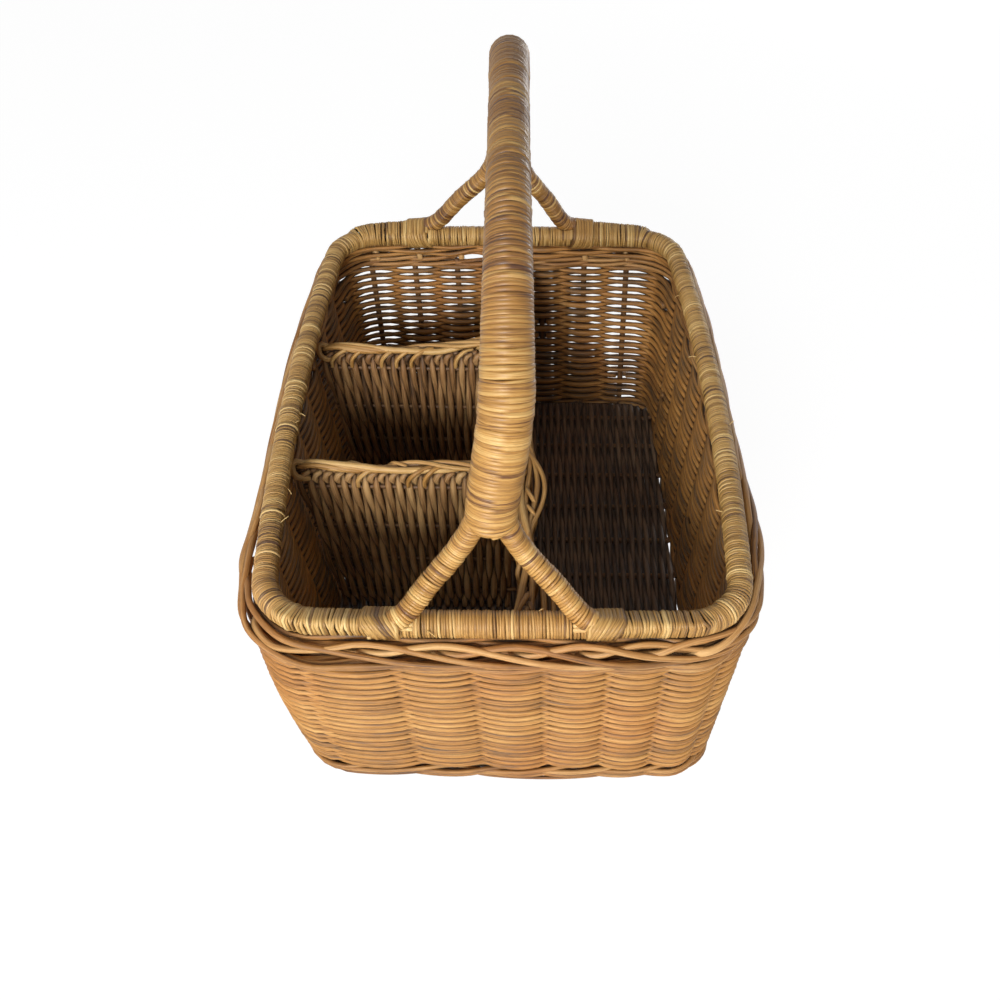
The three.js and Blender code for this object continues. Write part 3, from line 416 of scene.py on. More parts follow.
for place, node, path in stakes:
    reed = [(path, STAKE_RADIUS, STAKE_TONE, False)]
    woven_piece(f"round_stake_{place}", reed, ROUND_SIDES, stake_reed, [node])


# Woven floor.
# Fine round core runs lengthwise over and under the ten crosswise sticks, packed side by side.
# It is the same peeled core as the walls, browned by age and use, and ends in the walls' first rows.

FLOOR_SEED = 11
FLOOR_WEAVER_RADIUS = 1.75
FLOOR_WEAVER_PITCH = 2.5
FLOOR_RISE = 1.9
FLOOR_EDGE, FLOOR_END = 5.2, 3.4
FLOOR_POINTS = 68
FLOOR_SWAY, FLOOR_SWAY_PER_STICK = 0.15, 1.7
FLOOR_WIDTHS, FLOOR_TONES = (0.96, 1.06), (0.25, 0.7)
FRONT_PART, REAR_PART = (0.53, 0.97), (0.03, 0.47)

# The walls' core gone dull with age and crumbs; its dark brown is partly age and partly painted shade, so
# that it reads almost black in its shade.
floor_core = rattan("aged_shaded_floor_core", "#342820", "#7d6651", "#a68b70", roughness=0.62)


def floor_strands():
    """Strands that run from front to rear, over and under the sticks."""
    rng = np.random.default_rng(FLOOR_SEED)
    strands = []
    low = wall_point(0.5, FLOOR_MIDDLE)[0] + FLOOR_EDGE
    high = wall_point(0.0, FLOOR_MIDDLE)[0] - FLOOR_EDGE
    count = int((high - low) / FLOOR_WEAVER_PITCH)
    for number in range(count + 1):
        x = low + (high - low) * number / count
        turns = [turns_where(0, FLOOR_MIDDLE, x, *part) for part in (FRONT_PART, REAR_PART)]
        front, rear = (wall_point(turn, FLOOR_MIDDLE)[1] for turn in turns)
        y = np.linspace(front + FLOOR_END, rear - FLOOR_END, FLOOR_POINTS)
        stick = (y - cross_ys[0]) / cross_pitch
        z = FLOOR_MIDDLE + FLOOR_RISE * np.cos(np.pi * (stick + number))
        sway = x + FLOOR_SWAY * np.sin(stick * FLOOR_SWAY_PER_STICK + rng.uniform(0, 6.28))
        points = np.stack([sway, y, z], axis=-1)
        radius = FLOOR_WEAVER_RADIUS * rng.uniform(*FLOOR_WIDTHS)
        strands.append((points, radius, rng.uniform(*FLOOR_TONES), False))
    return strands


woven_piece("floor_core_weave", floor_strands(), PLAIN_SIDES, floor_core, ["floor_weave"])


# Foot border.
# Two rows of thin brown core, each of three strands twisted in front of two stakes and behind one,
# run round the foot. At the front one strand has sprung loose and leaves a slit above it.

FOOT_SEED = 21
FOOT_STRAND_RADIUS, FOOT_REACH, FOOT_LIFT, FOOT_LEAN = 1.4, 2.6, 0.9, 0.9
FOOT_ROWS = (3.9, 7.5)
POINTS_PER_STAKE = 8
ROW_WANDER, ROW_RISE_WANDER = 0.3, 0.25
ROW_TONE, ROW_TONE_WANDER, ROW_TONE_SPREAD = 0.5, 0.16, 0.1
SLIT_X, SLIT_HEIGHT, SLIT_REACH, SLIT_PART = -4.0, 5.0, 9.0, 0.1
SLIT_LIFT, UPPER_SLIT_LIFT = 2.4, 0.8
SLIP_FROM, SLIP_TO = 1, 4
SLIP_HEIGHTS = (4.4, 2.6, 1.9, 1.6, 1.6, 1.9, 2.7, 4.2)
SLIP_OFFSETS = (-1.0, 2.2, 3.4, 3.9, 4.0, 3.7, 2.6, -1.0)
SLIP_RADIUS, SLIP_TONE, SLIP_STEP = 1.0, 0.35, 2.0

# Core steamed and bent wet for the borders: redder and deeper brown than the walls, with a satin sheen.
border_core = rattan("border_core", "#52331a", "#b07c42", "#e0b273", roughness=0.58)


def ripple(phase, rng, amount, waves=(2, 3, 5, 8)):
    """A gentle unevenness round a closed row; phase runs from 0 to 1."""
    total = np.zeros_like(phase)
    for wave in waves:
        total += np.sin(2 * np.pi * (wave * phase + rng.uniform())) * rng.uniform(0.4, 1.0)
    return total * amount / len(waves) ** 0.5


def bump(value, middle, reach):
    """A smooth hump: 1 at the middle and next to nothing two reaches away."""
    return np.exp(-(((value - middle) / reach) ** 2))


def waling_strands(rows, radius, reach, lift, lean, seed, raise_at):
    """Rows of three strands twisted round the stakes, in front of two and behind one."""
    rng = np.random.default_rng(seed)
    strands = []
    stake = np.arange(STAKES * POINTS_PER_STAKE) / POINTS_PER_STAKE
    turn = turn_at(stake)
    for height in rows:
        for number in range(3):
            phase = 2 * np.pi * (stake - number) / 3
            offset = lean + reach * np.cos(phase) + ripple(stake / STAKES, rng, ROW_WANDER)
            z = height + lift * np.sin(phase) + ripple(stake / STAKES, rng, ROW_RISE_WANDER)
            z = z + raise_at(turn, height)
            tone = ROW_TONE + ripple(stake / STAKES, rng, ROW_TONE_WANDER)
            tone = tone + rng.uniform(-ROW_TONE_SPREAD, ROW_TONE_SPREAD)
            strands.append((wall_point(turn, z, offset), radius, tone, True))
    return strands


def slit_lift(turn, height):
    """Lifts the lowest row over the slit at the front, and the upper row a little."""
    x = wall_point(turn, SLIT_HEIGHT)[:, 0]
    near = bump(x, SLIT_X, SLIT_REACH) * (np.abs(np.mod(turn, 1) - 0.75) < SLIT_PART)
    return near * (SLIT_LIFT if height == FOOT_ROWS[0] else UPPER_SLIT_LIFT)


foot_strands = waling_strands(
    FOOT_ROWS, FOOT_STRAND_RADIUS, FOOT_REACH, FOOT_LIFT, FOOT_LEAN, FOOT_SEED, slit_lift
)
slip_share = np.linspace(0, 1, len(SLIP_HEIGHTS))
slip_turns = front_turns[SLIP_FROM] + slip_share * (front_turns[SLIP_TO] - front_turns[SLIP_FROM])
slip_path = smooth_path(wall_point(slip_turns, SLIP_HEIGHTS, SLIP_OFFSETS), SLIP_STEP)
foot_strands.append((slip_path, SLIP_RADIUS, SLIP_TONE, False))
woven_piece("foot_border_rows", foot_strands, ROUND_SIDES, border_core, ["foot_border"])


# Wall weave.
# Peeled round core goes in front of one stake and behind the next, in one line that climbs round and round
# all four walls; each reed lasts about two laps, and the next is laid in behind a stake. Along the rear the
# rows are slack and leave light slits beside the stakes.

WALL_SEED = 31
WEAVER_RADIUS = 1.45
WEAVER_SWELL, REAR_SWELL = 0.5, 0.9
SWELL_TURNS = (0.09, 0.13, 0.38, 0.42)
WEAVER_REACH, WEAVER_FLATNESS, WEAVER_WANDER = 2.7, 0.85, 0.12
WEAVER_TONE, WEAVER_TONE_SPREAD, WEAVER_TONE_WANDER = 0.54, 0.11, 0.07
WEAVER_RISE_WANDER, WEAVER_WIDTH_WANDER = 0.2, 0.06
# How much a weaver is darkened as painted shade where it passes behind a stake, and from what offset.
BEHIND_SHADE_TONE, BEHIND_SHADE_FROM = 0.2, -0.5
ROW_PITCH = 2.62
# Waves that all rows share: size in mm, waves to a lap, and shift.
ROW_WAVES = ((0.5, 3.02, 0.0), (0.4, 7.03, 1.0))
FIRST_ROW, LAST_ROW = 11.0, 117.0
SHORTEST_REED, LONGEST_REED, LAST_REED = 26, 42, 110
# At each rear stake from left to right: how slack the rows are, and from what height up.
REAR_SLACK = (1.0, 0.78, 0.62, 0.3, 0.0, 0.6, 0.95)
REAR_SLACK_ABOVE = (52.0, 70.0, 84.0, 98.0, 125.0, 92.0, 8.0)
SLACK_REACH, SLACK_FADE = 0.012, 5.0

# Peeled core of the walls: blond brown with a satin sheen; the grooves between packed rows are darkened with
# painted shade.
wall_core = rattan("wall_core", "#5e4b34", "#c08642", "#e7b46c", roughness=0.58, groove_shade=(0.0035, 0.95))


def weaver_runs(start, stop, rng):
    """Cuts the climbing line into reeds, each joined behind a stake."""
    cuts = [start]
    while cuts[-1] + LAST_REED < stop:
        cuts.append(cuts[-1] + 2 * int(rng.integers(SHORTEST_REED, LONGEST_REED)))
    return zip(cuts, cuts[1:] + [stop])


def looseness(turn, height):
    """Where the rows are slack and show light beside the stakes: along the rear wall, each stake its own."""
    places = rear_turns[::-1]
    slack = np.interp(turn, places, REAR_SLACK[::-1], left=0, right=0)
    for stake in (0, -1):
        slack = np.maximum(slack, REAR_SLACK[stake] * bump(turn, rear_turns[stake], SLACK_REACH))
    above = np.interp(turn, places, REAR_SLACK_ABOVE[::-1])
    return slack * smooth(height, above - SLACK_FADE, above + SLACK_FADE)


def climbing_strands(first, last, rng, place, first_height):
    """Reeds of the climbing weave from one count of stakes to another."""
    strands = []
    for low, high in weaver_runs(first, last, rng):
        stake = np.arange(low * POINTS_PER_STAKE + 1, high * POINTS_PER_STAKE) / POINTS_PER_STAKE
        swing = np.cos(np.pi * stake)
        phase = stake / STAKES
        offset = WEAVER_REACH * np.sign(swing) * np.abs(swing) ** WEAVER_FLATNESS
        offset = offset + ripple(phase, rng, WEAVER_WANDER)
        together = sum(size * np.sin(2 * np.pi * wave * phase + shift) for size, wave, shift in ROW_WAVES)
        height = first_height + ROW_PITCH * phase + together
        height = height + ripple(phase, rng, WEAVER_RISE_WANDER, (2, 5, 9, 16.5))
        thick = 1 + ripple(phase, rng, WEAVER_WIDTH_WANDER, (5, 9, 14))
        turn = np.mod(turn_at(stake), 1.0)
        swell = np.interp(turn, SWELL_TURNS, (WEAVER_SWELL, REAR_SWELL, REAR_SWELL, WEAVER_SWELL))
        swell = swell * (1 - looseness(turn, height))
        radius = (WEAVER_RADIUS + swell * np.abs(swing) ** 0.5) * thick
        # Painted shade: a weaver's tone is darkened where it passes inwards, behind a stake.
        behind_shade = BEHIND_SHADE_TONE * smooth(-offset, BEHIND_SHADE_FROM, WEAVER_REACH)
        tone = rng.normal(WEAVER_TONE, WEAVER_TONE_SPREAD) - behind_shade
        tone = tone + ripple(phase, rng, WEAVER_TONE_WANDER, (3, 7, 13, 17, 29))
        strands.append((place(turn_at(stake), height, offset), radius, tone, False))
    return strands


weave_rng = np.random.default_rng(WALL_SEED)
laps = (LAST_ROW - FIRST_ROW) / ROW_PITCH
halfway = 2 * int(laps * STAKES / 4) + 1
end_of_weave = 2 * int(laps * STAKES / 2) + 1
for name, first, last in (("wall_weave_lower", 1, halfway), ("wall_weave_upper", halfway, end_of_weave)):
    reeds = climbing_strands(first, last, weave_rng, wall_point, FIRST_ROW)
    woven_piece(name, reeds, ROUND_SIDES, wall_core, ["wall_weave"])


# Upper waling.
# Two rows of thicker brown core, three strands to a row, lock the weave under the border. At the rear, left
# of the handle, the rows have parted and leave an opening.

WALING_SEED = 41
WALING_ROWS = (118.9, 122.4)
WALING_RADIUS, WALING_REACH, WALING_LIFT, WALING_LEAN = 1.6, 2.8, 0.8, 0.8
OPENING_TURN = 0.62 * rear_turns[2] + 0.38 * rear_turns[3]
OPENING_REACH = 0.45 * abs(rear_turns[2] - rear_turns[3])
PARTED_HEIGHTS = (112.0, 118.9, 121.0, 122.4, 136.0)
PARTED_MOVES = (0.0, -0.8, 0.0, 5.2, 0.0)


def parted(turn, height):
    """How far a row moves up or down round the opening under the rear rim, left of the handle."""
    near = bump(np.mod(turn, 1.0), OPENING_TURN, OPENING_REACH)
    return near * np.interp(height, PARTED_HEIGHTS, PARTED_MOVES)


waling = waling_strands(
    WALING_ROWS, WALING_RADIUS, WALING_REACH, WALING_LIFT, WALING_LEAN, WALING_SEED, parted
)
woven_piece("upper_waling_rows", waling, ROUND_SIDES, border_core, ["upper_waling"])


# Rolled border.
# Each stake's end is bent over to the right: it comes out as a light, round knuckle, rides up under the rim
# past the next stake, and comes down outside the next two to be tucked in. A few rows of weave lie behind.

BORDER_SEED, BED_SEED = 51, 52
RIM_SHIFT = 0.8
RIM_HALF_WIDTH, RIM_HALF_LENGTH, RIM_CORNER, RIM_BOW = 117.0, 164.5, 24.0, 8.0
RIM_HEIGHT = 142.0
BORDER_STRAND_RADIUS, BORDER_STEP = 1.75, 2.4
BED_FIRST_ROW, BED_LAPS = 125.4, 4
BED_OUTWARD, BED_FLATNESS = 3.6, 0.55
DARK_CORNER_TONE, DARK_CORNER_REACH = 0.22, 0.04
LOOSE_LOOPS_TURN, LOW_LOOPS_TURN, TIGHT_TURN, WIDE_TURN = 0.61, 0.652, 0.842, 0.91
LOOSE_LOOPS_REACH, LOW_LOOPS_REACH, TIGHT_REACH, WIDE_REACH = 0.017, 0.02, 0.024, 0.03
LOOSE_LOOPS_OUT, LOW_LOOPS_OUT, LOW_LOOPS_DROP, TIGHT_IN, WIDE_OUT = 6.2, 2.2, 1.8, 4.5, 2.8
SIDE_BORDER_REACH, SIDE_BORDER_POWER, LOOSE_LOOPS_SHARES = 0.84, 1.5, (0.3, 1.1)
OUTWARD_SPREAD, HEIGHT_SPREAD, BORDER_TONE_SPREAD, BORDER_WIDTHS = 0.4, 0.5, 0.15, (0.92, 1.06)

# A border strand's places along its way: stakes passed, then mm outwards from the rim and mm of height.
BORDER_STAGES = (-0.06, -0.02, 0.08, 0.3, 0.65, 1.0, 1.35, 1.75, 2.1, 2.5, 3.0, 3.5, 4.0, 4.3)
BORDER_OUTWARDS = (3.4, 5.0, 8.4, 9.6, 9.2, 8.6, 9.4, 11.0, 12.2, 13.0, 13.0, 11.4, 8.6, 6.6)
BORDER_HEIGHTS = (123, 127.6, 130.4, 131.8, 134.8, 136.6, 136.2, 134, 131.6, 129.4, 127.4, 126, 124.8, 123.6)
FREE_STAGES, FREE_SHARES = (0, 1.2, 2.2, 3.2, 4.4), (0, 0.8, 1, 0.8, 0)
KNUCKLE_SHARES, KNUCKLE_TONES = (0, 0.05, 0.14, 0.4, 1), (1.1, 1.0, 0.7, 0.6, 0.42)
TAPER_SHARES, TAPER_WIDTHS = (0, 0.05, 0.2, 1), (1.2, 1.2, 1.0, 0.84)


def rim_curve(turn):
    """The rim's middle line seen from above."""
    x, y = outline(turn, RIM_HALF_WIDTH, RIM_HALF_LENGTH, RIM_CORNER, RIM_BOW)
    return x + RIM_SHIFT, y


def rim_point(turn, outward=0.0, up=0.0):
    """Places beside the rim's middle line, moved outwards and up."""
    turn, outward, up = np.broadcast_arrays(*(np.asarray(v, dtype=float) for v in (turn, outward, up)))
    x, y, _, _ = offset_outline(turn, outward, rim_curve)
    return np.stack([x, y, RIM_HEIGHT + up], axis=-1)


def bed_point(turn, height, offset):
    """Places in the weave behind the border, which lies flatter than the walls'."""
    up = height + parted(turn, height) - RIM_HEIGHT
    return rim_point(turn, BED_OUTWARD + BED_FLATNESS * offset, up)


def border_strands():
    """Each stake's bent-over end. Some hang loose or low at the front left; at the right some lie wide."""
    rng = np.random.default_rng(BORDER_SEED)
    stages = np.array(BORDER_STAGES)
    free = np.interp(stages, FREE_STAGES, FREE_SHARES)
    strands = []
    for number in range(STAKES):
        turn = turn_at(number + stages)
        endness = np.abs(np.sin(2 * np.pi * turn)) ** SIDE_BORDER_POWER
        loops = rng.uniform(*LOOSE_LOOPS_SHARES) * bump(turn, LOOSE_LOOPS_TURN, LOOSE_LOOPS_REACH)
        low = rng.uniform(0, 1) * bump(turn, LOW_LOOPS_TURN, LOW_LOOPS_REACH)
        spread = WIDE_OUT * bump(turn, WIDE_TURN, WIDE_REACH) - TIGHT_IN * bump(turn, TIGHT_TURN, TIGHT_REACH)
        outward = BORDER_OUTWARDS * (SIDE_BORDER_REACH + (1 - SIDE_BORDER_REACH) * endness)
        outward = outward + free * (rng.normal(0, OUTWARD_SPREAD) + spread)
        outward = outward + LOOSE_LOOPS_OUT * loops + LOW_LOOPS_OUT * low
        height = BORDER_HEIGHTS + free * rng.normal(0, HEIGHT_SPREAD) - LOW_LOOPS_DROP * low
        path = smooth_path(rim_point(turn, outward, height - RIM_HEIGHT), BORDER_STEP)
        share = np.linspace(0, 1, len(path))
        tone = np.interp(share, KNUCKLE_SHARES, KNUCKLE_TONES) + rng.normal(0, BORDER_TONE_SPREAD)
        tone = tone - DARK_CORNER_TONE * bump(turn_at(number + 2.0), LOOSE_LOOPS_TURN, DARK_CORNER_REACH)
        thick = np.interp(share, TAPER_SHARES, TAPER_WIDTHS) * rng.uniform(*BORDER_WIDTHS)
        strands.append((path, BORDER_STRAND_RADIUS * thick, tone, False))
    return strands


end_of_bed = 1 + 2 * int(BED_LAPS * STAKES / 2)
bed = climbing_strands(1, end_of_bed, np.random.default_rng(BED_SEED), bed_point, BED_FIRST_ROW)
woven_piece("border_bed", bed, PLAIN_SIDES, wall_core, ["braided_border"])
woven_piece("rolled_border", border_strands(), ROUND_SIDES, border_core, ["braided_border"])


# Rim.
# A cane hoop lies inside the border, wound over its whole length with narrow split cane. Near each foot of
# the handle the leg's thinning end is wound in with it, which makes the rim thicker there.

RIM_SEED, FOOT_WINDING_SEED, FRAY_SEED = 61, 66, 200
HOOP_RADIUS = 4.4
FIT = 0.3
SIDE_WRAP_REACH, END_WRAP_REACH, WRAP_BLEND = 6.0, 6.6, 12.0
FOOT_WRAP_THICKNESS = 1.9
FOOT_RADIUS, FOOT_TIP_RADIUS, FOOT_TIP_SHARE = 2.6, 1.1, 0.85
STACK_ANGLE = np.pi / 4
FOOT_MIDDLE_X = -3.0
FRONT_SPREAD, REAR_SPREAD = 46.0, 49.0
FAT_LEAD = 1.5
FOOT_RUN_END = 93.0
FAT_END = FOOT_RUN_END + 11.0
RIM_CANE_RADIUS, RIM_CANE_PITCH = 0.85, 1.3
PITCH_LIMITS, SPARE_SHARE, SPARE_TURNS, LEAST_LAST_TURN = (0.55, 1.5), 1.6, 6, 0.2
LIFT_SPREAD, PROUD_LIFT = 0.09, 0.3
TURN_TONE_SPREAD, TURN_TONE_WANDER, PROUD_HIGHLIGHT_TONES = 0.12, 0.08, (0.78, 0.98)
DARK_TURN_PICK, DARK_TURN_TONES = 0.96, (0.1, 0.25)
CANE_WIDTH_SPREAD = 0.05
RIM_STEPS, FAT_STEPS, RIM_SAMPLES, FAT_SAMPLES = 14, 20, 400, 200
FIBRE_RADIUS, FIBRE_TONE, FIBRE_LENGTH, FIBRE_STEP = 0.22, 0.85, 5.5, 0.8
FIBRE_ROOT, FIBRE_DROOP, FIBRE_SWING = 1.0, 1.5, 0.004

# Split cane's outer skin, straw brown with a low sheen; here and there a turn stands proud and catches light,
# and is painted lighter as a highlight.
rim_cane = rattan("rim_cane", "#59391a", "#c79953", "#f2cf8b", roughness=0.5, coat=0.08, groove_shade=(0.0011, 0.8))
# Bare cane under the windings, dull and seen only as lines between turns; its dark brown is painted shade for
# the gaps between turns.
core_cane = rattan("core_cane", "#2e1d0f", "#5a3d22", "#7d5a34", roughness=0.7, own_fibre=False)


def spine(points, hint):
    """A path to wind on: distances along it, centres, and the directions across it and up from it."""
    tangent = np.gradient(points, axis=0)
    tangent = tangent / np.linalg.norm(tangent, axis=1)[:, None]
    across = hint - (hint * tangent).sum(axis=1)[:, None] * tangent
    across = across / np.linalg.norm(across, axis=1)[:, None]
    return distances(points), points, across, np.cross(tangent, across)


def wind(
    core, section, pitch, cane_radius, seed, steps, proud=0.035, uneven=0.2, slant=0.3, tilt=0.0, tone=0.5
):
    """Cane wound in one unbroken helix round a spine. section(distance, angle, lift) gives across and up.

    proud is the share of turns that stand out and are painted lighter as a highlight, uneven the spread of
    the pitch, slant that of each turn's lean along the spine and tilt its mean, in mm. tone is the turns'
    mean tone, steps the points in a turn.
    """
    rng = np.random.default_rng(seed)
    run, centre, across, up = core
    enough = int(run[-1] / pitch * SPARE_SHARE) + SPARE_TURNS
    pitches = pitch * np.clip(rng.normal(1, uneven, enough), *PITCH_LIMITS)
    starts = np.append(0, np.cumsum(pitches))
    turns = max(int(np.searchsorted(starts, run[-1] - LEAST_LAST_TURN)), 1)
    number = np.arange(turns * steps + 1) / steps
    each = np.arange(turns + 2)
    angle = 2 * np.pi * (number + 0.5 / steps) - np.pi / 2
    lean = np.interp(number, each, rng.normal(tilt, slant, turns + 2))
    distance = np.interp(number, np.arange(len(starts)), starts) + lean * np.sin(angle)
    distance = np.clip(distance, 0, run[-1])
    pick = rng.uniform(0, 1, turns + 2)
    is_proud = pick < proud
    lifts = rng.normal(0, LIFT_SPREAD, turns + 2) + PROUD_LIFT * is_proud
    lift = np.interp(number, each, lifts)
    dx, dz = section(distance, angle, lift - cane_radius)
    points = values_at(distance, run, centre) + dx[:, None] * values_at(distance, run, across)
    points = points + dz[:, None] * values_at(distance, run, up)

    tones = rng.normal(tone, TURN_TONE_SPREAD, turns + 2)
    tones = tones + ripple(each / (turns + 2), rng, TURN_TONE_WANDER, (3, 7, 12, 19))
    # Painted highlight: proud turns get a lighter tone on top of their real lift.
    tones = np.where(is_proud, rng.uniform(*PROUD_HIGHLIGHT_TONES, turns + 2), tones)
    tones = np.where(pick > DARK_TURN_PICK, rng.uniform(*DARK_TURN_TONES, turns + 2), tones)
    widths = 1 + np.interp(number, each, rng.normal(0, CANE_WIDTH_SPREAD, turns + 2))
    return points, cane_radius * widths, tones[np.floor(number).astype(int)], False


def rim_turn(x, front):
    """The rim's turn at an x on its front or its rear."""
    middle = 0.75 if front else 0.25
    turns = np.linspace(middle - 0.2, middle + 0.2, TURN_SAMPLES)
    measure = rim_curve(turns)[0]
    order = np.argsort(measure)
    return np.interp(x, measure[order], turns[order])


def foot_turn(side, end, reach):
    """The rim's turn at a distance from the feet's middle. side: -1 left, 1 right; end: -1 front, 1 rear."""
    return rim_turn(FOOT_MIDDLE_X + side * reach, end < 0)


def foot_spread(end):
    """How far from the feet's middle a leg lands on the rim."""
    return FRONT_SPREAD if end < 0 else REAR_SPREAD


def rim_section(reach, length):
    """The thin runs' winding, which thickens towards both ends to meet the fat runs."""
    def section(distance, angle, lift):
        from_end = np.minimum(distance, length - distance)
        size = reach + (END_WRAP_REACH - reach) * np.exp(-from_end / WRAP_BLEND) + lift
        return size * np.cos(angle), size * np.sin(angle)
    return section


def foot_radius(reach):
    """The leg cane's radius along the rim; it thins towards its end."""
    share = np.clip((reach - FRONT_SPREAD) / (FOOT_RUN_END - FRONT_SPREAD), 0, 1)
    return FOOT_RADIUS + (FOOT_TIP_RADIUS - FOOT_RADIUS) * share


def stack_run(side, end, start, stop, layer):
    """The fat run's spine, and a winding section that takes in the hoop and the foot cane beside it."""
    reach = np.linspace(start, stop, FAT_SAMPLES)
    turns = foot_turn(side, end, reach)
    share = 1 - FOOT_TIP_SHARE * smooth(reach, FOOT_RUN_END, FAT_END)
    half = share * (HOOP_RADIUS + FIT + foot_radius(reach)) / 2
    x, y, out_x, out_y = offset_outline(turns, 0.0, rim_curve)
    out = np.stack([out_x, out_y, np.zeros_like(out_x)], axis=-1)
    axis = out * np.cos(STACK_ANGLE) + np.array([0, 0, np.sin(STACK_ANGLE)])
    middle = np.stack([x, y, np.full_like(x, RIM_HEIGHT)], axis=-1) + axis * half[:, None]
    core = spine(middle, axis)
    run = core[0]

    def section(distance, angle, lift):
        apart = np.interp(distance, run, half)
        small = np.interp(distance, run, foot_radius(reach) * share) + layer + lift
        large = HOOP_RADIUS + FIT + layer + lift
        on_foot = np.cos(angle) > np.clip((large - small) / (2 * apart), -1, 1)
        size = np.where(on_foot, small, large)
        return size * np.cos(angle) + np.where(on_foot, apart, -apart), size * np.sin(angle)

    return core, section


def fray(turn, angle, reach, seed):
    """A thin split fibre that sticks out of the rim's winding."""
    rng = np.random.default_rng(seed)
    out, up = np.cos(angle), np.sin(angle)
    along = rng.uniform(-1, 1, 2)
    steps = np.array([0.0, 0.35, 0.7, 1.0])
    turns = turn + FIBRE_SWING * (along[0] * steps + along[1] * steps**2)
    away = reach - FIBRE_ROOT + FIBRE_LENGTH * steps * rng.uniform(0.5, 1.0)
    points = rim_point(turns, out * away, up * away - FIBRE_DROOP * steps**2)
    return smooth_path(points, FIBRE_STEP), FIBRE_RADIUS, FIBRE_TONE, False


FEET = (("front_left", -1, -1), ("front_right", 1, -1), ("rear_left", -1, 1), ("rear_right", 1, 1))
# Where fibres stick out of each run: the turn, and the angle round the hoop from outwards to up.
FRAYS = {
    "front": ((foot_turn(1, -1, 20), 2.2), (foot_turn(-1, -1, 30), 0.4), (foot_turn(1, -1, 38), 2.0)),
    "rear": ((0.26, 2.0), (0.235, 1.2)),
    "left": ((0.6, 2.6), (0.575, 2.9), (0.52, 2.8), (0.53, 2.5), (0.43, 1.8), (0.395, 0.6)),
    "right": ((0.03, 2.9), (0.05, 2.4), (-0.09, 2.7), (-0.03, 0.8), (0.09, 2.9)),
}
front_start, rear_start = FRONT_SPREAD - FAT_LEAD, REAR_SPREAD - FAT_LEAD
rim_runs = (
    ("front", foot_turn(-1, -1, front_start), foot_turn(1, -1, front_start), END_WRAP_REACH),
    ("rear", foot_turn(1, 1, rear_start), foot_turn(-1, 1, rear_start), END_WRAP_REACH),
    ("right", foot_turn(1, -1, FAT_END) - 1, foot_turn(1, 1, FAT_END), SIDE_WRAP_REACH),
    ("left", foot_turn(-1, 1, FAT_END), foot_turn(-1, -1, FAT_END), SIDE_WRAP_REACH),
)
for number, (name, start, stop, reach) in enumerate(rim_runs):
    rim_path = even_steps(rim_point(np.linspace(start, stop, RIM_SAMPLES)), 1.0)
    core = spine(rim_path, np.array([0.0, 0.0, 1.0]))
    section = rim_section(reach, core[0][-1])
    strands = [wind(core, section, RIM_CANE_PITCH, RIM_CANE_RADIUS, RIM_SEED + number, RIM_STEPS)]
    for k, (turn, angle) in enumerate(FRAYS[name]):
        strands.append(fray(turn, angle, reach, FRAY_SEED + 10 * number + k))
    woven_piece(f"rim_winding_{name}", strands, ROUND_SIDES, rim_cane, [f"rim_wrap_{name}"])
for number, (name, side, end) in enumerate(FEET):
    core, section = stack_run(side, end, foot_spread(end) - FAT_LEAD, FAT_END, FOOT_WRAP_THICKNESS - FIT)
    seed = FOOT_WINDING_SEED + number
    winding = wind(core, section, RIM_CANE_PITCH, RIM_CANE_RADIUS, seed, FAT_STEPS, slant=0.5)
    woven_piece(f"foot_winding_{name}", [winding], ROUND_SIDES, rim_cane, [f"foot_wrap_{name}"])


# Handle.
# A thick cane arch runs the length of the basket. At each end a thinner cane is laid along either side of
# it, and one winding of flat cane covers all three down to where they part.

HANDLE_SEED = 71
HANDLE_REACH_Y, SPRING_HEIGHT, HANDLE_TOP, SQUARENESS = 150.0, 141.0, 306.5, 3.0
FRONT_FORK, REAR_FORK = 191.0, 211.0
HANDLE_HALF_WIDTH, HANDLE_DEPTH_MORE = 9.4, 0.2
FORK_HALF_WIDTH, FORK_BLEND = 11.4, 190.0
SHOULDER_SWELL, SHOULDER_DISTANCE, SHOULDER_SPREAD = 0.8, 60.0, 40.0
HANDLE_FRONT_X, HANDLE_TOP_X, HANDLE_REAR_X = -4.4, 2.5, 1.0
LEAN_FROM, LEAN_TO = 185.0, 256.0
CROTCH_DROP, CROTCH_ROUNDING, CROTCH_SHRINK = 1.5, 5.0, 0.35
HANDLE_CANE_RADIUS, HANDLE_CANE_PITCH = 1.6, 1.7

# Wider flat cane, varnished golden brown, rubbed shiny low down; along the top it is dulled by dust and
# darkened by painted shade.
handle_cane = rattan(
    "handle_cane", "#61391a", "#c6924a", "#efc67e",
    roughness=0.46, coat=0.08, dust_and_shade=("#a89f88", 0.235, 0.3), groove_shade=(0.0011, 0.75),
)


def raw_arch(angle):
    """The handle's middle line, which leans a little; angle 0 is its front foot, pi its rear one."""
    c = np.cos(angle)
    power = 2 / SQUARENESS
    y = -HANDLE_REACH_Y * np.sign(c) * np.abs(c) ** power
    z = SPRING_HEIGHT + (HANDLE_TOP - SPRING_HEIGHT) * np.sin(angle) ** power
    foot_x = np.where(c > 0, HANDLE_FRONT_X, HANDLE_REAR_X)
    x = foot_x + (HANDLE_TOP_X - foot_x) * smooth(z, LEAN_FROM, LEAN_TO)
    return np.stack([x, y, z], axis=-1)


def arch_angle(height):
    """The angle at which the arch's front half reaches a height."""
    return np.arcsin(((height - SPRING_HEIGHT) / (HANDLE_TOP - SPRING_HEIGHT)) ** (SQUARENESS / 2))


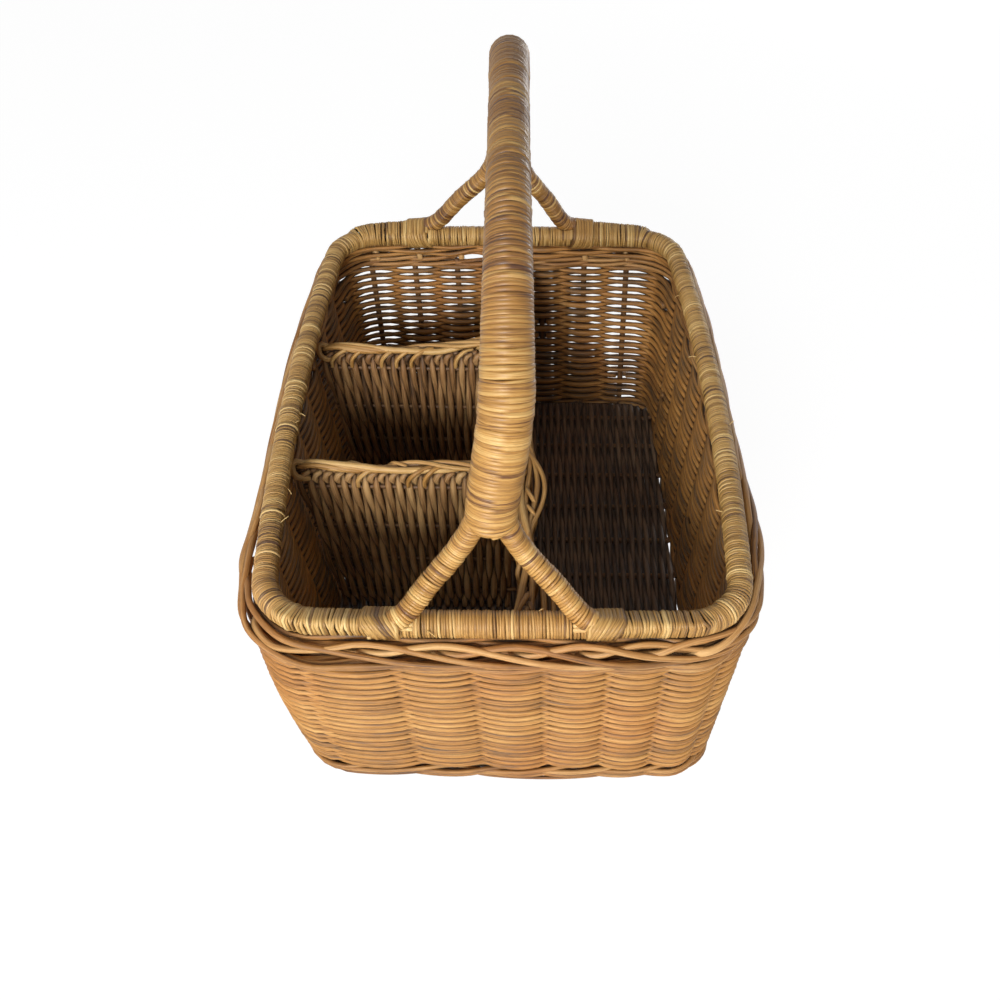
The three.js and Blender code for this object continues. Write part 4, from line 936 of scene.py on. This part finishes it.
def handle_width(distance):
    """Half the wound handle's width at a distance along it from the nearer fork."""
    blend = smooth(FORK_BLEND - distance, 0, FORK_BLEND)
    swell = SHOULDER_SWELL * bump(distance, SHOULDER_DISTANCE, SHOULDER_SPREAD)
    return HANDLE_HALF_WIDTH + (FORK_HALF_WIDTH - HANDLE_HALF_WIDTH) * blend + swell


def arch_points(drop):
    """The arch from fork to fork, its ends lowered by drop."""
    low, high = arch_angle(FRONT_FORK - drop), np.pi - arch_angle(REAR_FORK - drop)
    return even_steps(raw_arch(np.linspace(low, high, TURN_SAMPLES)), 1.0)


arch = arch_points(0.0)
arch_run = distances(arch)
wound_arch = spine(arch_points(CROTCH_DROP), np.array([1.0, 0.0, 0.0]))


def handle_section(distance, angle, lift):
    """The winding round the arch and the legs' ends, drawn in at the fork."""
    from_end = np.minimum(distance, wound_arch[0][-1] - distance)
    rounding = 1 - CROTCH_SHRINK * (1 - smooth(from_end, 0, CROTCH_ROUNDING)) ** 2
    wide = (handle_width(np.maximum(from_end - CROTCH_DROP, 0)) + lift) * rounding
    deep = (HANDLE_HALF_WIDTH + HANDLE_DEPTH_MORE + lift) * (1 + rounding) / 2
    return wide * np.cos(angle), deep * np.sin(angle)


winding = wind(
    wound_arch, handle_section, HANDLE_CANE_PITCH, HANDLE_CANE_RADIUS, HANDLE_SEED, FAT_STEPS,
    proud=0.03, uneven=0.1, slant=0.5,
)
woven_piece("handle_winding", [winding], ROUND_SIDES, handle_cane, ["handle_wrap"])


# Legs.
# The four thinner canes leave the handle at the fork, run straight down to the rim and turn outwards along
# it. Each is wound by itself, and a few leaning turns of flat cane lash its foot to the rim.

LEG_SEED, LASHING_SEED = 81, 91
LEG_CANE_RADIUS, LEG_TIP_RADIUS, LEG_COVER = 3.5, 2.4, 1.7
CANE_REACH, CANE_TAPER_START = 108.0, 30.0
CANE_DISTANCES = (CANE_REACH, 81, 54, 27, 3)
LEG_REACH = 5.4
LEG_START_DROP = 15.0
# For each end: the handle's x, the fork's height, and how far to the side a leg starts below it.
FORKS = {-1: (HANDLE_FRONT_X, FRONT_FORK, 14.5), 1: (HANDLE_REAR_X, REAR_FORK, 11.5)}
FOOT_BEND = 5.0
FOOT_SHARES = (0, 0.26, 0.53, 0.77, 1)
LANDING_LIFT, LANDING_LEAD = 5.5, 0.5
LEG_WIND_ABOVE, LEG_LEAST_DROP = 5.0, 10.0
LEG_CANE_WIND_RADIUS, LEG_WIND_PITCH = 1.0, 1.4
# The rear legs' winding is painted darker than the front legs': painted shade.
FRONT_LEG_TONE, REAR_LEG_SHADE_TONE = 0.5, 0.32
LASHING_TURNS, LASHING_PITCH, LASHING_LEAD = 5, 1.8, 3.2
LASHING_RADIUS, LASHING_PROUD, LASHING_TILT = 1.3, 1.0, 3.0
LASHING_STEPS = 24
TAIL_START, TAIL_END, TAIL_DEPTH = 10.0, 1.0, 1.0
TAIL_RADIUS, TAIL_TONE, TAIL_TONE_STEP, TAIL_POINTS = 1.4, 0.85, 0.04, 8
TAIL_ANGLES = (0.5, 0.85, 1.2)


def stack_point(side, end, reach, share):
    """A place beside the hoop: the foot cane's middle at share 1, the hoop's own at 0."""
    apart = share * (HOOP_RADIUS + FIT + foot_radius(reach))
    return rim_point(foot_turn(side, end, reach), apart * np.cos(STACK_ANGLE), apart * np.sin(STACK_ANGLE))


def leg_path(side, end):
    """A leg cane's way from beside the handle, over the fork and down, to its end along the rim."""
    points = []
    for distance in CANE_DISTANCES:
        place = distance if end < 0 else arch_run[-1] - distance
        point = values_at(place, arch_run, arch)
        share = smooth(distance, CANE_TAPER_START, CANE_REACH)
        radius = LEG_CANE_RADIUS + (LEG_TIP_RADIUS - LEG_CANE_RADIUS) * share
        point[0] += side * (handle_width(distance) - LEG_COVER - radius)
        points.append(point)
    fork_x, fork_z, leg_spread = FORKS[end]
    spread = foot_spread(end)
    landing = stack_point(side, end, spread - FOOT_BEND, 0.5) + [0, 0, LANDING_LIFT]
    start = np.array([fork_x + side * leg_spread, end * HANDLE_REACH_Y, fork_z - LEG_START_DROP])
    points += [start, (start + landing) / 2, landing]
    for share in FOOT_SHARES:
        reach = spread + FOOT_BEND + share * (FOOT_RUN_END - spread - FOOT_BEND)
        points.append(stack_point(side, end, reach, 1.0))
    return smooth_path(points, 1.0)


def leg_section(distance, angle, lift):
    """A plain round winding."""
    return (LEG_REACH + lift) * np.cos(angle), (LEG_REACH + lift) * np.sin(angle)


for number, (name, side, end) in enumerate(FEET):
    path = leg_path(side, end)
    fork_z = FORKS[end][1]
    spread = foot_spread(end)
    from_middle = np.abs(path[:, 0] - FOOT_MIDDLE_X)
    below = path[:, 2] < fork_z + LEG_WIND_ABOVE
    landed = (path[:, 2] < fork_z - LEG_LEAST_DROP) & (from_middle > spread - LANDING_LEAD)
    leg = path[int(np.argmax(below)) : int(np.argmax(landed))]
    core = spine(leg, np.array([0.0, end, 0.0]))
    tone = FRONT_LEG_TONE if end < 0 else REAR_LEG_SHADE_TONE
    seed = LEG_SEED + number
    winding = wind(core, leg_section, LEG_WIND_PITCH, LEG_CANE_WIND_RADIUS, seed, RIM_STEPS, tone=tone)
    node = f"leg_wrap_{name}"
    woven_piece(f"leg_winding_{name}", [winding], ROUND_SIDES, handle_cane, [node])

    start = spread - LASHING_LEAD
    stop = start + LASHING_TURNS * LASHING_PITCH + 2 * LASHING_TILT
    core, section = stack_run(side, end, start, stop, FOOT_WRAP_THICKNESS + LASHING_PROUD)
    tilt = LASHING_TILT * np.sign(core[3][0, 2])
    lashing = wind(
        core, section, LASHING_PITCH, LASHING_RADIUS, LASHING_SEED + number, LASHING_STEPS,
        proud=0.0, uneven=0.06, slant=0.1, tilt=tilt,
    )
    tail_reach = np.linspace(spread - TAIL_START, spread + TAIL_END, TAIL_POINTS)
    tail_turns = foot_turn(side, end, tail_reach)
    lying = END_WRAP_REACH - TAIL_DEPTH
    strands = [lashing]
    for k, angle in enumerate(TAIL_ANGLES):
        flat = rim_point(tail_turns, lying * np.cos(angle), lying * np.sin(angle))
        strands.append((flat, TAIL_RADIUS, TAIL_TONE - TAIL_TONE_STEP * k, False))
    node = f"foot_lashing_{name}"
    woven_piece(f"foot_lashing_turns_{name}", strands, ROUND_SIDES, rim_cane, [node])


# Canes inside the windings.
# The hoop, the handle's core and the leg canes are whole rattan canes, steamed and bent to shape. They only
# show as dark lines between turns.

for node in ("rim_hoop", "handle_core", *(f"leg_cane_{name}" for name, _, _ in FEET)):
    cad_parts[node].material_slots[0].material = core_cane


# Dividers.
# One panel runs the basket's length and two cross it on the left. Upright weavers of round core go over and
# under four horizontal sticks; their tops bend over into a border of a few light strands.

DIVIDER_SEED = 91
DIVIDER_X = 13.0
LONG_DIVIDER_TONE = 0.56
# Each cross panel's name, its y, how far its roll climbs towards the long panel, and its tone.
CROSS_DIVIDERS = (("front", -42.0, 1.0, 0.7), ("rear", 64.0, 7.0, 0.48))
CROSS_DIVIDER_STOP = 3.5
DIVIDER_TOP, DIVIDER_FOOT = 119.0, 9.0
STICK_HEIGHTS = (22.0, 50.0, 78.0, 109.0)
STICK_RADIUS, STICK_TONE, STICK_POINTS = 1.5, 0.42, 60
STICK_WAVE, STICK_WAVE_LENGTH = 0.3, 17.0
UPRIGHT_RADIUS, UPRIGHT_SWELL, UPRIGHT_WIDTHS = 1.65, 0.45, (0.9, 1.05)
UPRIGHT_PITCH, UPRIGHT_REACH, UPRIGHT_POINTS = 3.05, 2.4, 20
UPRIGHT_SWAY, UPRIGHT_TONE_SPREAD = 0.3, 0.13
FIRST_UPRIGHT, LAST_UPRIGHT = 2.0, 3.0
BENT_FROM, BENT_TIP, BENT_ALONG, BENT_ACROSS, BENT_UP = 2.0, 4.0, (0.25, 0.9), (0.9, 0.3), (0.6, 1.6)
PANEL_INSET, PANEL_SAMPLES, END_GAP = 5.0, 1600, 1.0
PANEL_FOOT_HEIGHT = 12.0
ROLL_RISE, ROLL_END_GAP, ROLL_STEP = 5.0, 0.5, 3.0
ROLL_REACH, ROLL_LIFT, ROLL_WANDER, ROLL_WANDER_LENGTH = 2.6, 1.5, 0.4, 260.0
ROLL_WIDTHS, ROLL_TONES = (0.95, 1.05), (0.45, 0.85)
LEFT_DROOP, LEFT_DROOP_REACH, CLIMB_LENGTH = 3.0, 7.0, 45.0
# Each strand of a roll: its radius, and the length in which it goes once round the others.
ROLL_STRANDS = ((1.9, 118.0), (1.6, 96.0), (1.5, 84.0), (1.3, 70.0))
ROLL_FRONT_SPREAD, ROLL_BOWS = (-7, 0, 7, 13), (0, 2, 5, 8)
ROLL_BOW_PLACE, ROLL_BOW_REACH, ROLL_FRONT_DROP = -66.0, 34.0, 12.0
SPREAD_FROM, SPREAD_TO, DROP_FROM, DROP_TO = 92, 146, 118, 158
CURL_ALONG, CURL_ACROSS, CURL_UP, CURL_STEP = (9, 3, 0.5, 1), (-1.5, -3.5, -2, 1), (-7, -5, -1.5, 2), 2.5
TURNED_TIP_ALONG, TURNED_TIP_ACROSS = (0, 0.3, 2, 5, 9, 13), (2.8, 3.9, 4.6, 3.8, 1.6, 0.2)
TURNED_TIP_UP = (-7, -2, 1.6, 4.2, 5.4, 5.0)
TURNED_TIP_RADIUS, TURNED_TIP_STEP, TURNED_TIP_TONES = 1.3, 2.0, (0.35, 0.8)
TURNED_TIP_EVERY, TURNED_TIP_RUNS, LEFT_TIPS = 4, (8, 15), 0.6
FIRST_TURNED_TIP, LAST_TURNED_TIP, TIP_LEAST_POINTS = 2, 5, 4

# Peeled core browned by handling and darkened further as painted shade of the basket's inside: mid brown with
# a low sheen, and near black in its gaps as painted shade.
divider_core = rattan("divider_core", "#2b1b0d", "#9a6f43", "#d2a970", roughness=0.56)
# Thicker core rubbed by hands and cutlery: the lightest and smoothest strands inside the basket.
roll_core = rattan("roll_core", "#5c3a1c", "#be8b48", "#e9c07c", roughness=0.5)


def panel_reach(fixed, axis, height, sign):
    """Where a panel meets the wall's inside at a height: along y for the long one, along x for the others."""
    turns = np.linspace(0, 1, PANEL_SAMPLES)
    points = wall_point(turns, height, -PANEL_INSET)
    other = 1 - axis
    near = points[np.sign(points[:, axis]) == sign]
    return near[np.argmin(np.abs(near[:, other] - fixed)), axis]


def divider_strands(axis, fixed, end, climb, tone, seed):
    """A panel along an axis (0 is x, 1 is y); end closes it on the right where it meets the long panel."""
    rng = np.random.default_rng(seed)

    def place(along, across, height):
        """Points from mm along the panel, across it and up."""
        along, across, height = np.broadcast_arrays(along, across, height)
        first = along if axis == 0 else fixed + across
        second = along if axis == 1 else fixed + across
        return np.stack([first, second, height], axis=-1).astype(float)

    def low_end(height):
        return panel_reach(fixed, axis, height, -1)

    def high_end(height):
        return end if end is not None else panel_reach(fixed, axis, height, 1)

    sticks = []
    for height in STICK_HEIGHTS:
        along = np.linspace(low_end(height) + END_GAP, high_end(height) - END_GAP, STICK_POINTS)
        stick = place(along, 0.0, height + STICK_WAVE * np.sin(along / STICK_WAVE_LENGTH))
        sticks.append((stick, STICK_RADIUS, STICK_TONE, False))
    uprights = []
    knots = np.array([DIVIDER_FOOT, *STICK_HEIGHTS, DIVIDER_TOP])
    left, right = low_end(DIVIDER_TOP), high_end(DIVIDER_TOP)
    foot_left, foot_right = low_end(PANEL_FOOT_HEIGHT) + END_GAP, high_end(PANEL_FOOT_HEIGHT) - END_GAP
    count = int((right - left - LAST_UPRIGHT) / UPRIGHT_PITCH)
    for number in range(count):
        top = left + FIRST_UPRIGHT + UPRIGHT_PITCH * number
        foot = foot_left + (top - left) / (right - left) * (foot_right - foot_left)
        height = np.linspace(DIVIDER_FOOT, DIVIDER_TOP - BENT_FROM, UPRIGHT_POINTS)
        phase = np.interp(height, knots, np.arange(len(knots)) - 1)
        across = UPRIGHT_REACH * np.cos(np.pi * (phase + number))
        rise = (height - DIVIDER_FOOT) / (DIVIDER_TOP - DIVIDER_FOOT)
        along = foot + (top - foot) * rise + UPRIGHT_SWAY * np.sin(phase * 2 + rng.uniform(0, 6))
        lean = min(BENT_TIP, right - along[-1] - END_GAP)
        along = np.append(along, along[-1] + lean * np.array(BENT_ALONG))
        across = np.append(across, across[-1] * np.array(BENT_ACROSS))
        height = np.append(height, DIVIDER_TOP + np.array(BENT_UP))
        radius = UPRIGHT_RADIUS + UPRIGHT_SWELL * np.abs(across) / UPRIGHT_REACH
        radius = radius * rng.uniform(*UPRIGHT_WIDTHS)
        uprights.append((place(along, across, height), radius, rng.normal(tone, UPRIGHT_TONE_SPREAD), False))
    rolls = []
    height = DIVIDER_TOP + ROLL_RISE
    left, right = low_end(height) + ROLL_END_GAP, high_end(height) - ROLL_END_GAP
    along = np.linspace(left, right, int((right - left) / ROLL_STEP))
    phase = (along - left) / ROLL_WANDER_LENGTH
    droop = LEFT_DROOP * bump(along, left, LEFT_DROOP_REACH) - climb * smooth(along, -CLIMB_LENGTH, 0)
    for number, (size, wave) in enumerate(ROLL_STRANDS):
        angle = 2 * np.pi * (number / len(ROLL_STRANDS) + along / wave)
        across = ROLL_REACH * np.cos(angle) + ripple(phase, rng, ROLL_WANDER)
        up = height + ROLL_LIFT * np.sin(angle) + ripple(phase, rng, ROLL_WANDER) - droop
        if end is None:
            spread = ROLL_FRONT_SPREAD[number] * smooth(-along, SPREAD_FROM, SPREAD_TO)
            bow = ROLL_BOWS[number] * bump(along, ROLL_BOW_PLACE, ROLL_BOW_REACH)
            across = across + spread + bow
            up = up - ROLL_FRONT_DROP * smooth(-along, DROP_FROM, DROP_TO)
        points = place(along, across, up)
        if number == 0 and end is not None:
            curl = place(left + np.array(CURL_ALONG), np.array(CURL_ACROSS), height + np.array(CURL_UP))
            points = smooth_path(np.vstack([curl, points[2:]]), CURL_STEP)
        rolls.append((points, size * rng.uniform(*ROLL_WIDTHS), rng.uniform(*ROLL_TONES), False))
    for number in range(FIRST_TURNED_TIP, count - LAST_TURNED_TIP, TURNED_TIP_EVERY):
        top = left + FIRST_UPRIGHT + UPRIGHT_PITCH * (number + rng.integers(0, 3))
        side = -1 if rng.uniform() < LEFT_TIPS else 1
        run = rng.uniform(*TURNED_TIP_RUNS) / TURNED_TIP_ALONG[-1]
        tip = place(
            top + np.array(TURNED_TIP_ALONG) * run,
            side * np.array(TURNED_TIP_ACROSS),
            DIVIDER_TOP + np.array(TURNED_TIP_UP),
        )
        tip = tip[tip[:, axis] < right]
        if len(tip) >= TIP_LEAST_POINTS:
            tip = smooth_path(tip, TURNED_TIP_STEP)
            rolls.append((tip, TURNED_TIP_RADIUS, rng.uniform(*TURNED_TIP_TONES), False))
    return sticks + uprights, rolls


panels = [("long_divider", 1, DIVIDER_X, None, 0.0, LONG_DIVIDER_TONE)]
for name, y, climb, tone in CROSS_DIVIDERS:
    panels.append((f"{name}_cross_divider", 0, y, DIVIDER_X - CROSS_DIVIDER_STOP, climb, tone))
for number, (name, *shape) in enumerate(panels):
    weave, rolls = divider_strands(*shape, DIVIDER_SEED + number)
    woven_piece(f"{name}_uprights", weave, PLAIN_SIDES, divider_core, [f"{name}_weave"])
    woven_piece(f"{name}_roll", rolls, ROUND_SIDES, roll_core, [f"{name}_border"])


# Camera, lamps and floor.
# The basket is seen from the front and above, at 45 degrees, with its length running away from the eye.
# The key lamp stands low in front on the left. Weak ones on the right and above lighten the shadows, and
# a long low one behind lights the far side.

camera = bpy.data.objects.new("camera", bpy.data.cameras.new("camera"))
bpy.context.collection.objects.link(camera)
camera.location = (0.0028, -0.466, 0.523)
camera.rotation_euler = (np.pi / 4, 0, np.radians(0.53))
camera.data.lens = 38.52
camera.data.sensor_width = 36
camera.data.clip_start = 0.01
bpy.context.scene.camera = camera
bpy.context.scene.view_settings.view_transform = "Standard"


def area_lamp(name, place, target, width, height, power):
    """An oblong lamp turned towards its target."""
    lamp = bpy.data.lights.new(name, "AREA")
    lamp.shape = "RECTANGLE"
    lamp.size = width
    lamp.size_y = height
    lamp.energy = power
    holder = bpy.data.objects.new(name, lamp)
    bpy.context.collection.objects.link(holder)
    holder.location = place
    direction = np.array(target) - np.array(place)
    holder.rotation_euler = (
        np.arctan2(np.hypot(direction[0], direction[1]), -direction[2]),
        0,
        np.arctan2(direction[0], -direction[1]) + np.pi,
    )


area_lamp("key_lamp", (-0.3, -1.37, 0.7), (0, 0, 0.12), 0.45, 0.45, 19.5)
area_lamp("fill_lamp", (1.1, -0.9, 0.6), (0, 0, 0.12), 0.9, 0.9, 0.25)
area_lamp("top_lamp", (-0.9, -0.6, 1.2), (0, 0, 0.1), 0.8, 0.8, 2.3)
area_lamp("back_lamp", (0.8, 1.3, 0.1), (0, 0, 0.08), 1.2, 0.15, 6)


def background_rays(tree):
    """1 for the rays that see the plain background: the camera's, and those mirrored or passed on."""
    rays = add(tree, "ShaderNodeLightPath")
    seen = rays.outputs["Is Camera Ray"]
    for kind in ("Is Glossy Ray", "Is Transmission Ray"):
        seen = add(tree, "ShaderNodeMath", {0: seen, 1: rays.outputs[kind]}, operation="MAXIMUM").outputs[0]
    return seen


AMBIENT_STRENGTH = 0.1
FLOOR_SIZE = 3
FLOOR_GLOW, FLOOR_GLOW_SHARE = 1.12, 0.85

world = bpy.data.worlds.new("studio")
bpy.context.scene.world = world
world.use_nodes = True
tree = world.node_tree
tree.nodes.clear()
seen = background_rays(tree)
white = linear("#ffffff")
ambient = add(tree, "ShaderNodeBackground", {"Color": white, "Strength": AMBIENT_STRENGTH}).outputs[0]
backdrop = add(tree, "ShaderNodeBackground", {"Color": white, "Strength": 1.0}).outputs[0]
sky = add(tree, "ShaderNodeMixShader", {0: seen, 1: ambient, 2: backdrop}).outputs[0]
add(tree, "ShaderNodeOutputWorld", {"Surface": sky})

floor_shell = bmesh.new()
bmesh.ops.create_grid(floor_shell, x_segments=1, y_segments=1, size=FLOOR_SIZE)
floor_mesh = bpy.data.meshes.new("studio_floor")
floor_shell.to_mesh(floor_mesh)
floor_shell.free()
studio_floor = bpy.data.objects.new("studio_floor", floor_mesh)
bpy.context.collection.objects.link(studio_floor)

# Matt white wall paint, rolled on: even and without any sheen. It takes the shadow, and glows a little for
# the eye so that it meets the white behind it.
floor_paint = bpy.data.materials.new("matt_white_paint")
floor_paint.use_nodes = True
tree = floor_paint.node_tree
tree.nodes.clear()
seen = background_rays(tree)
paint = add(tree, "ShaderNodeBsdfDiffuse", {"Color": linear("#f4f4f4")}).outputs[0]
glow = add(tree, "ShaderNodeEmission", {"Color": white, "Strength": FLOOR_GLOW}).outputs[0]
share = add(tree, "ShaderNodeMath", {0: seen, 1: FLOOR_GLOW_SHARE}, operation="MULTIPLY").outputs[0]
surface = add(tree, "ShaderNodeMixShader", {0: share, 1: paint, 2: glow}).outputs[0]
add(tree, "ShaderNodeOutputMaterial", {"Surface": surface})
floor_mesh.materials.append(floor_paint)
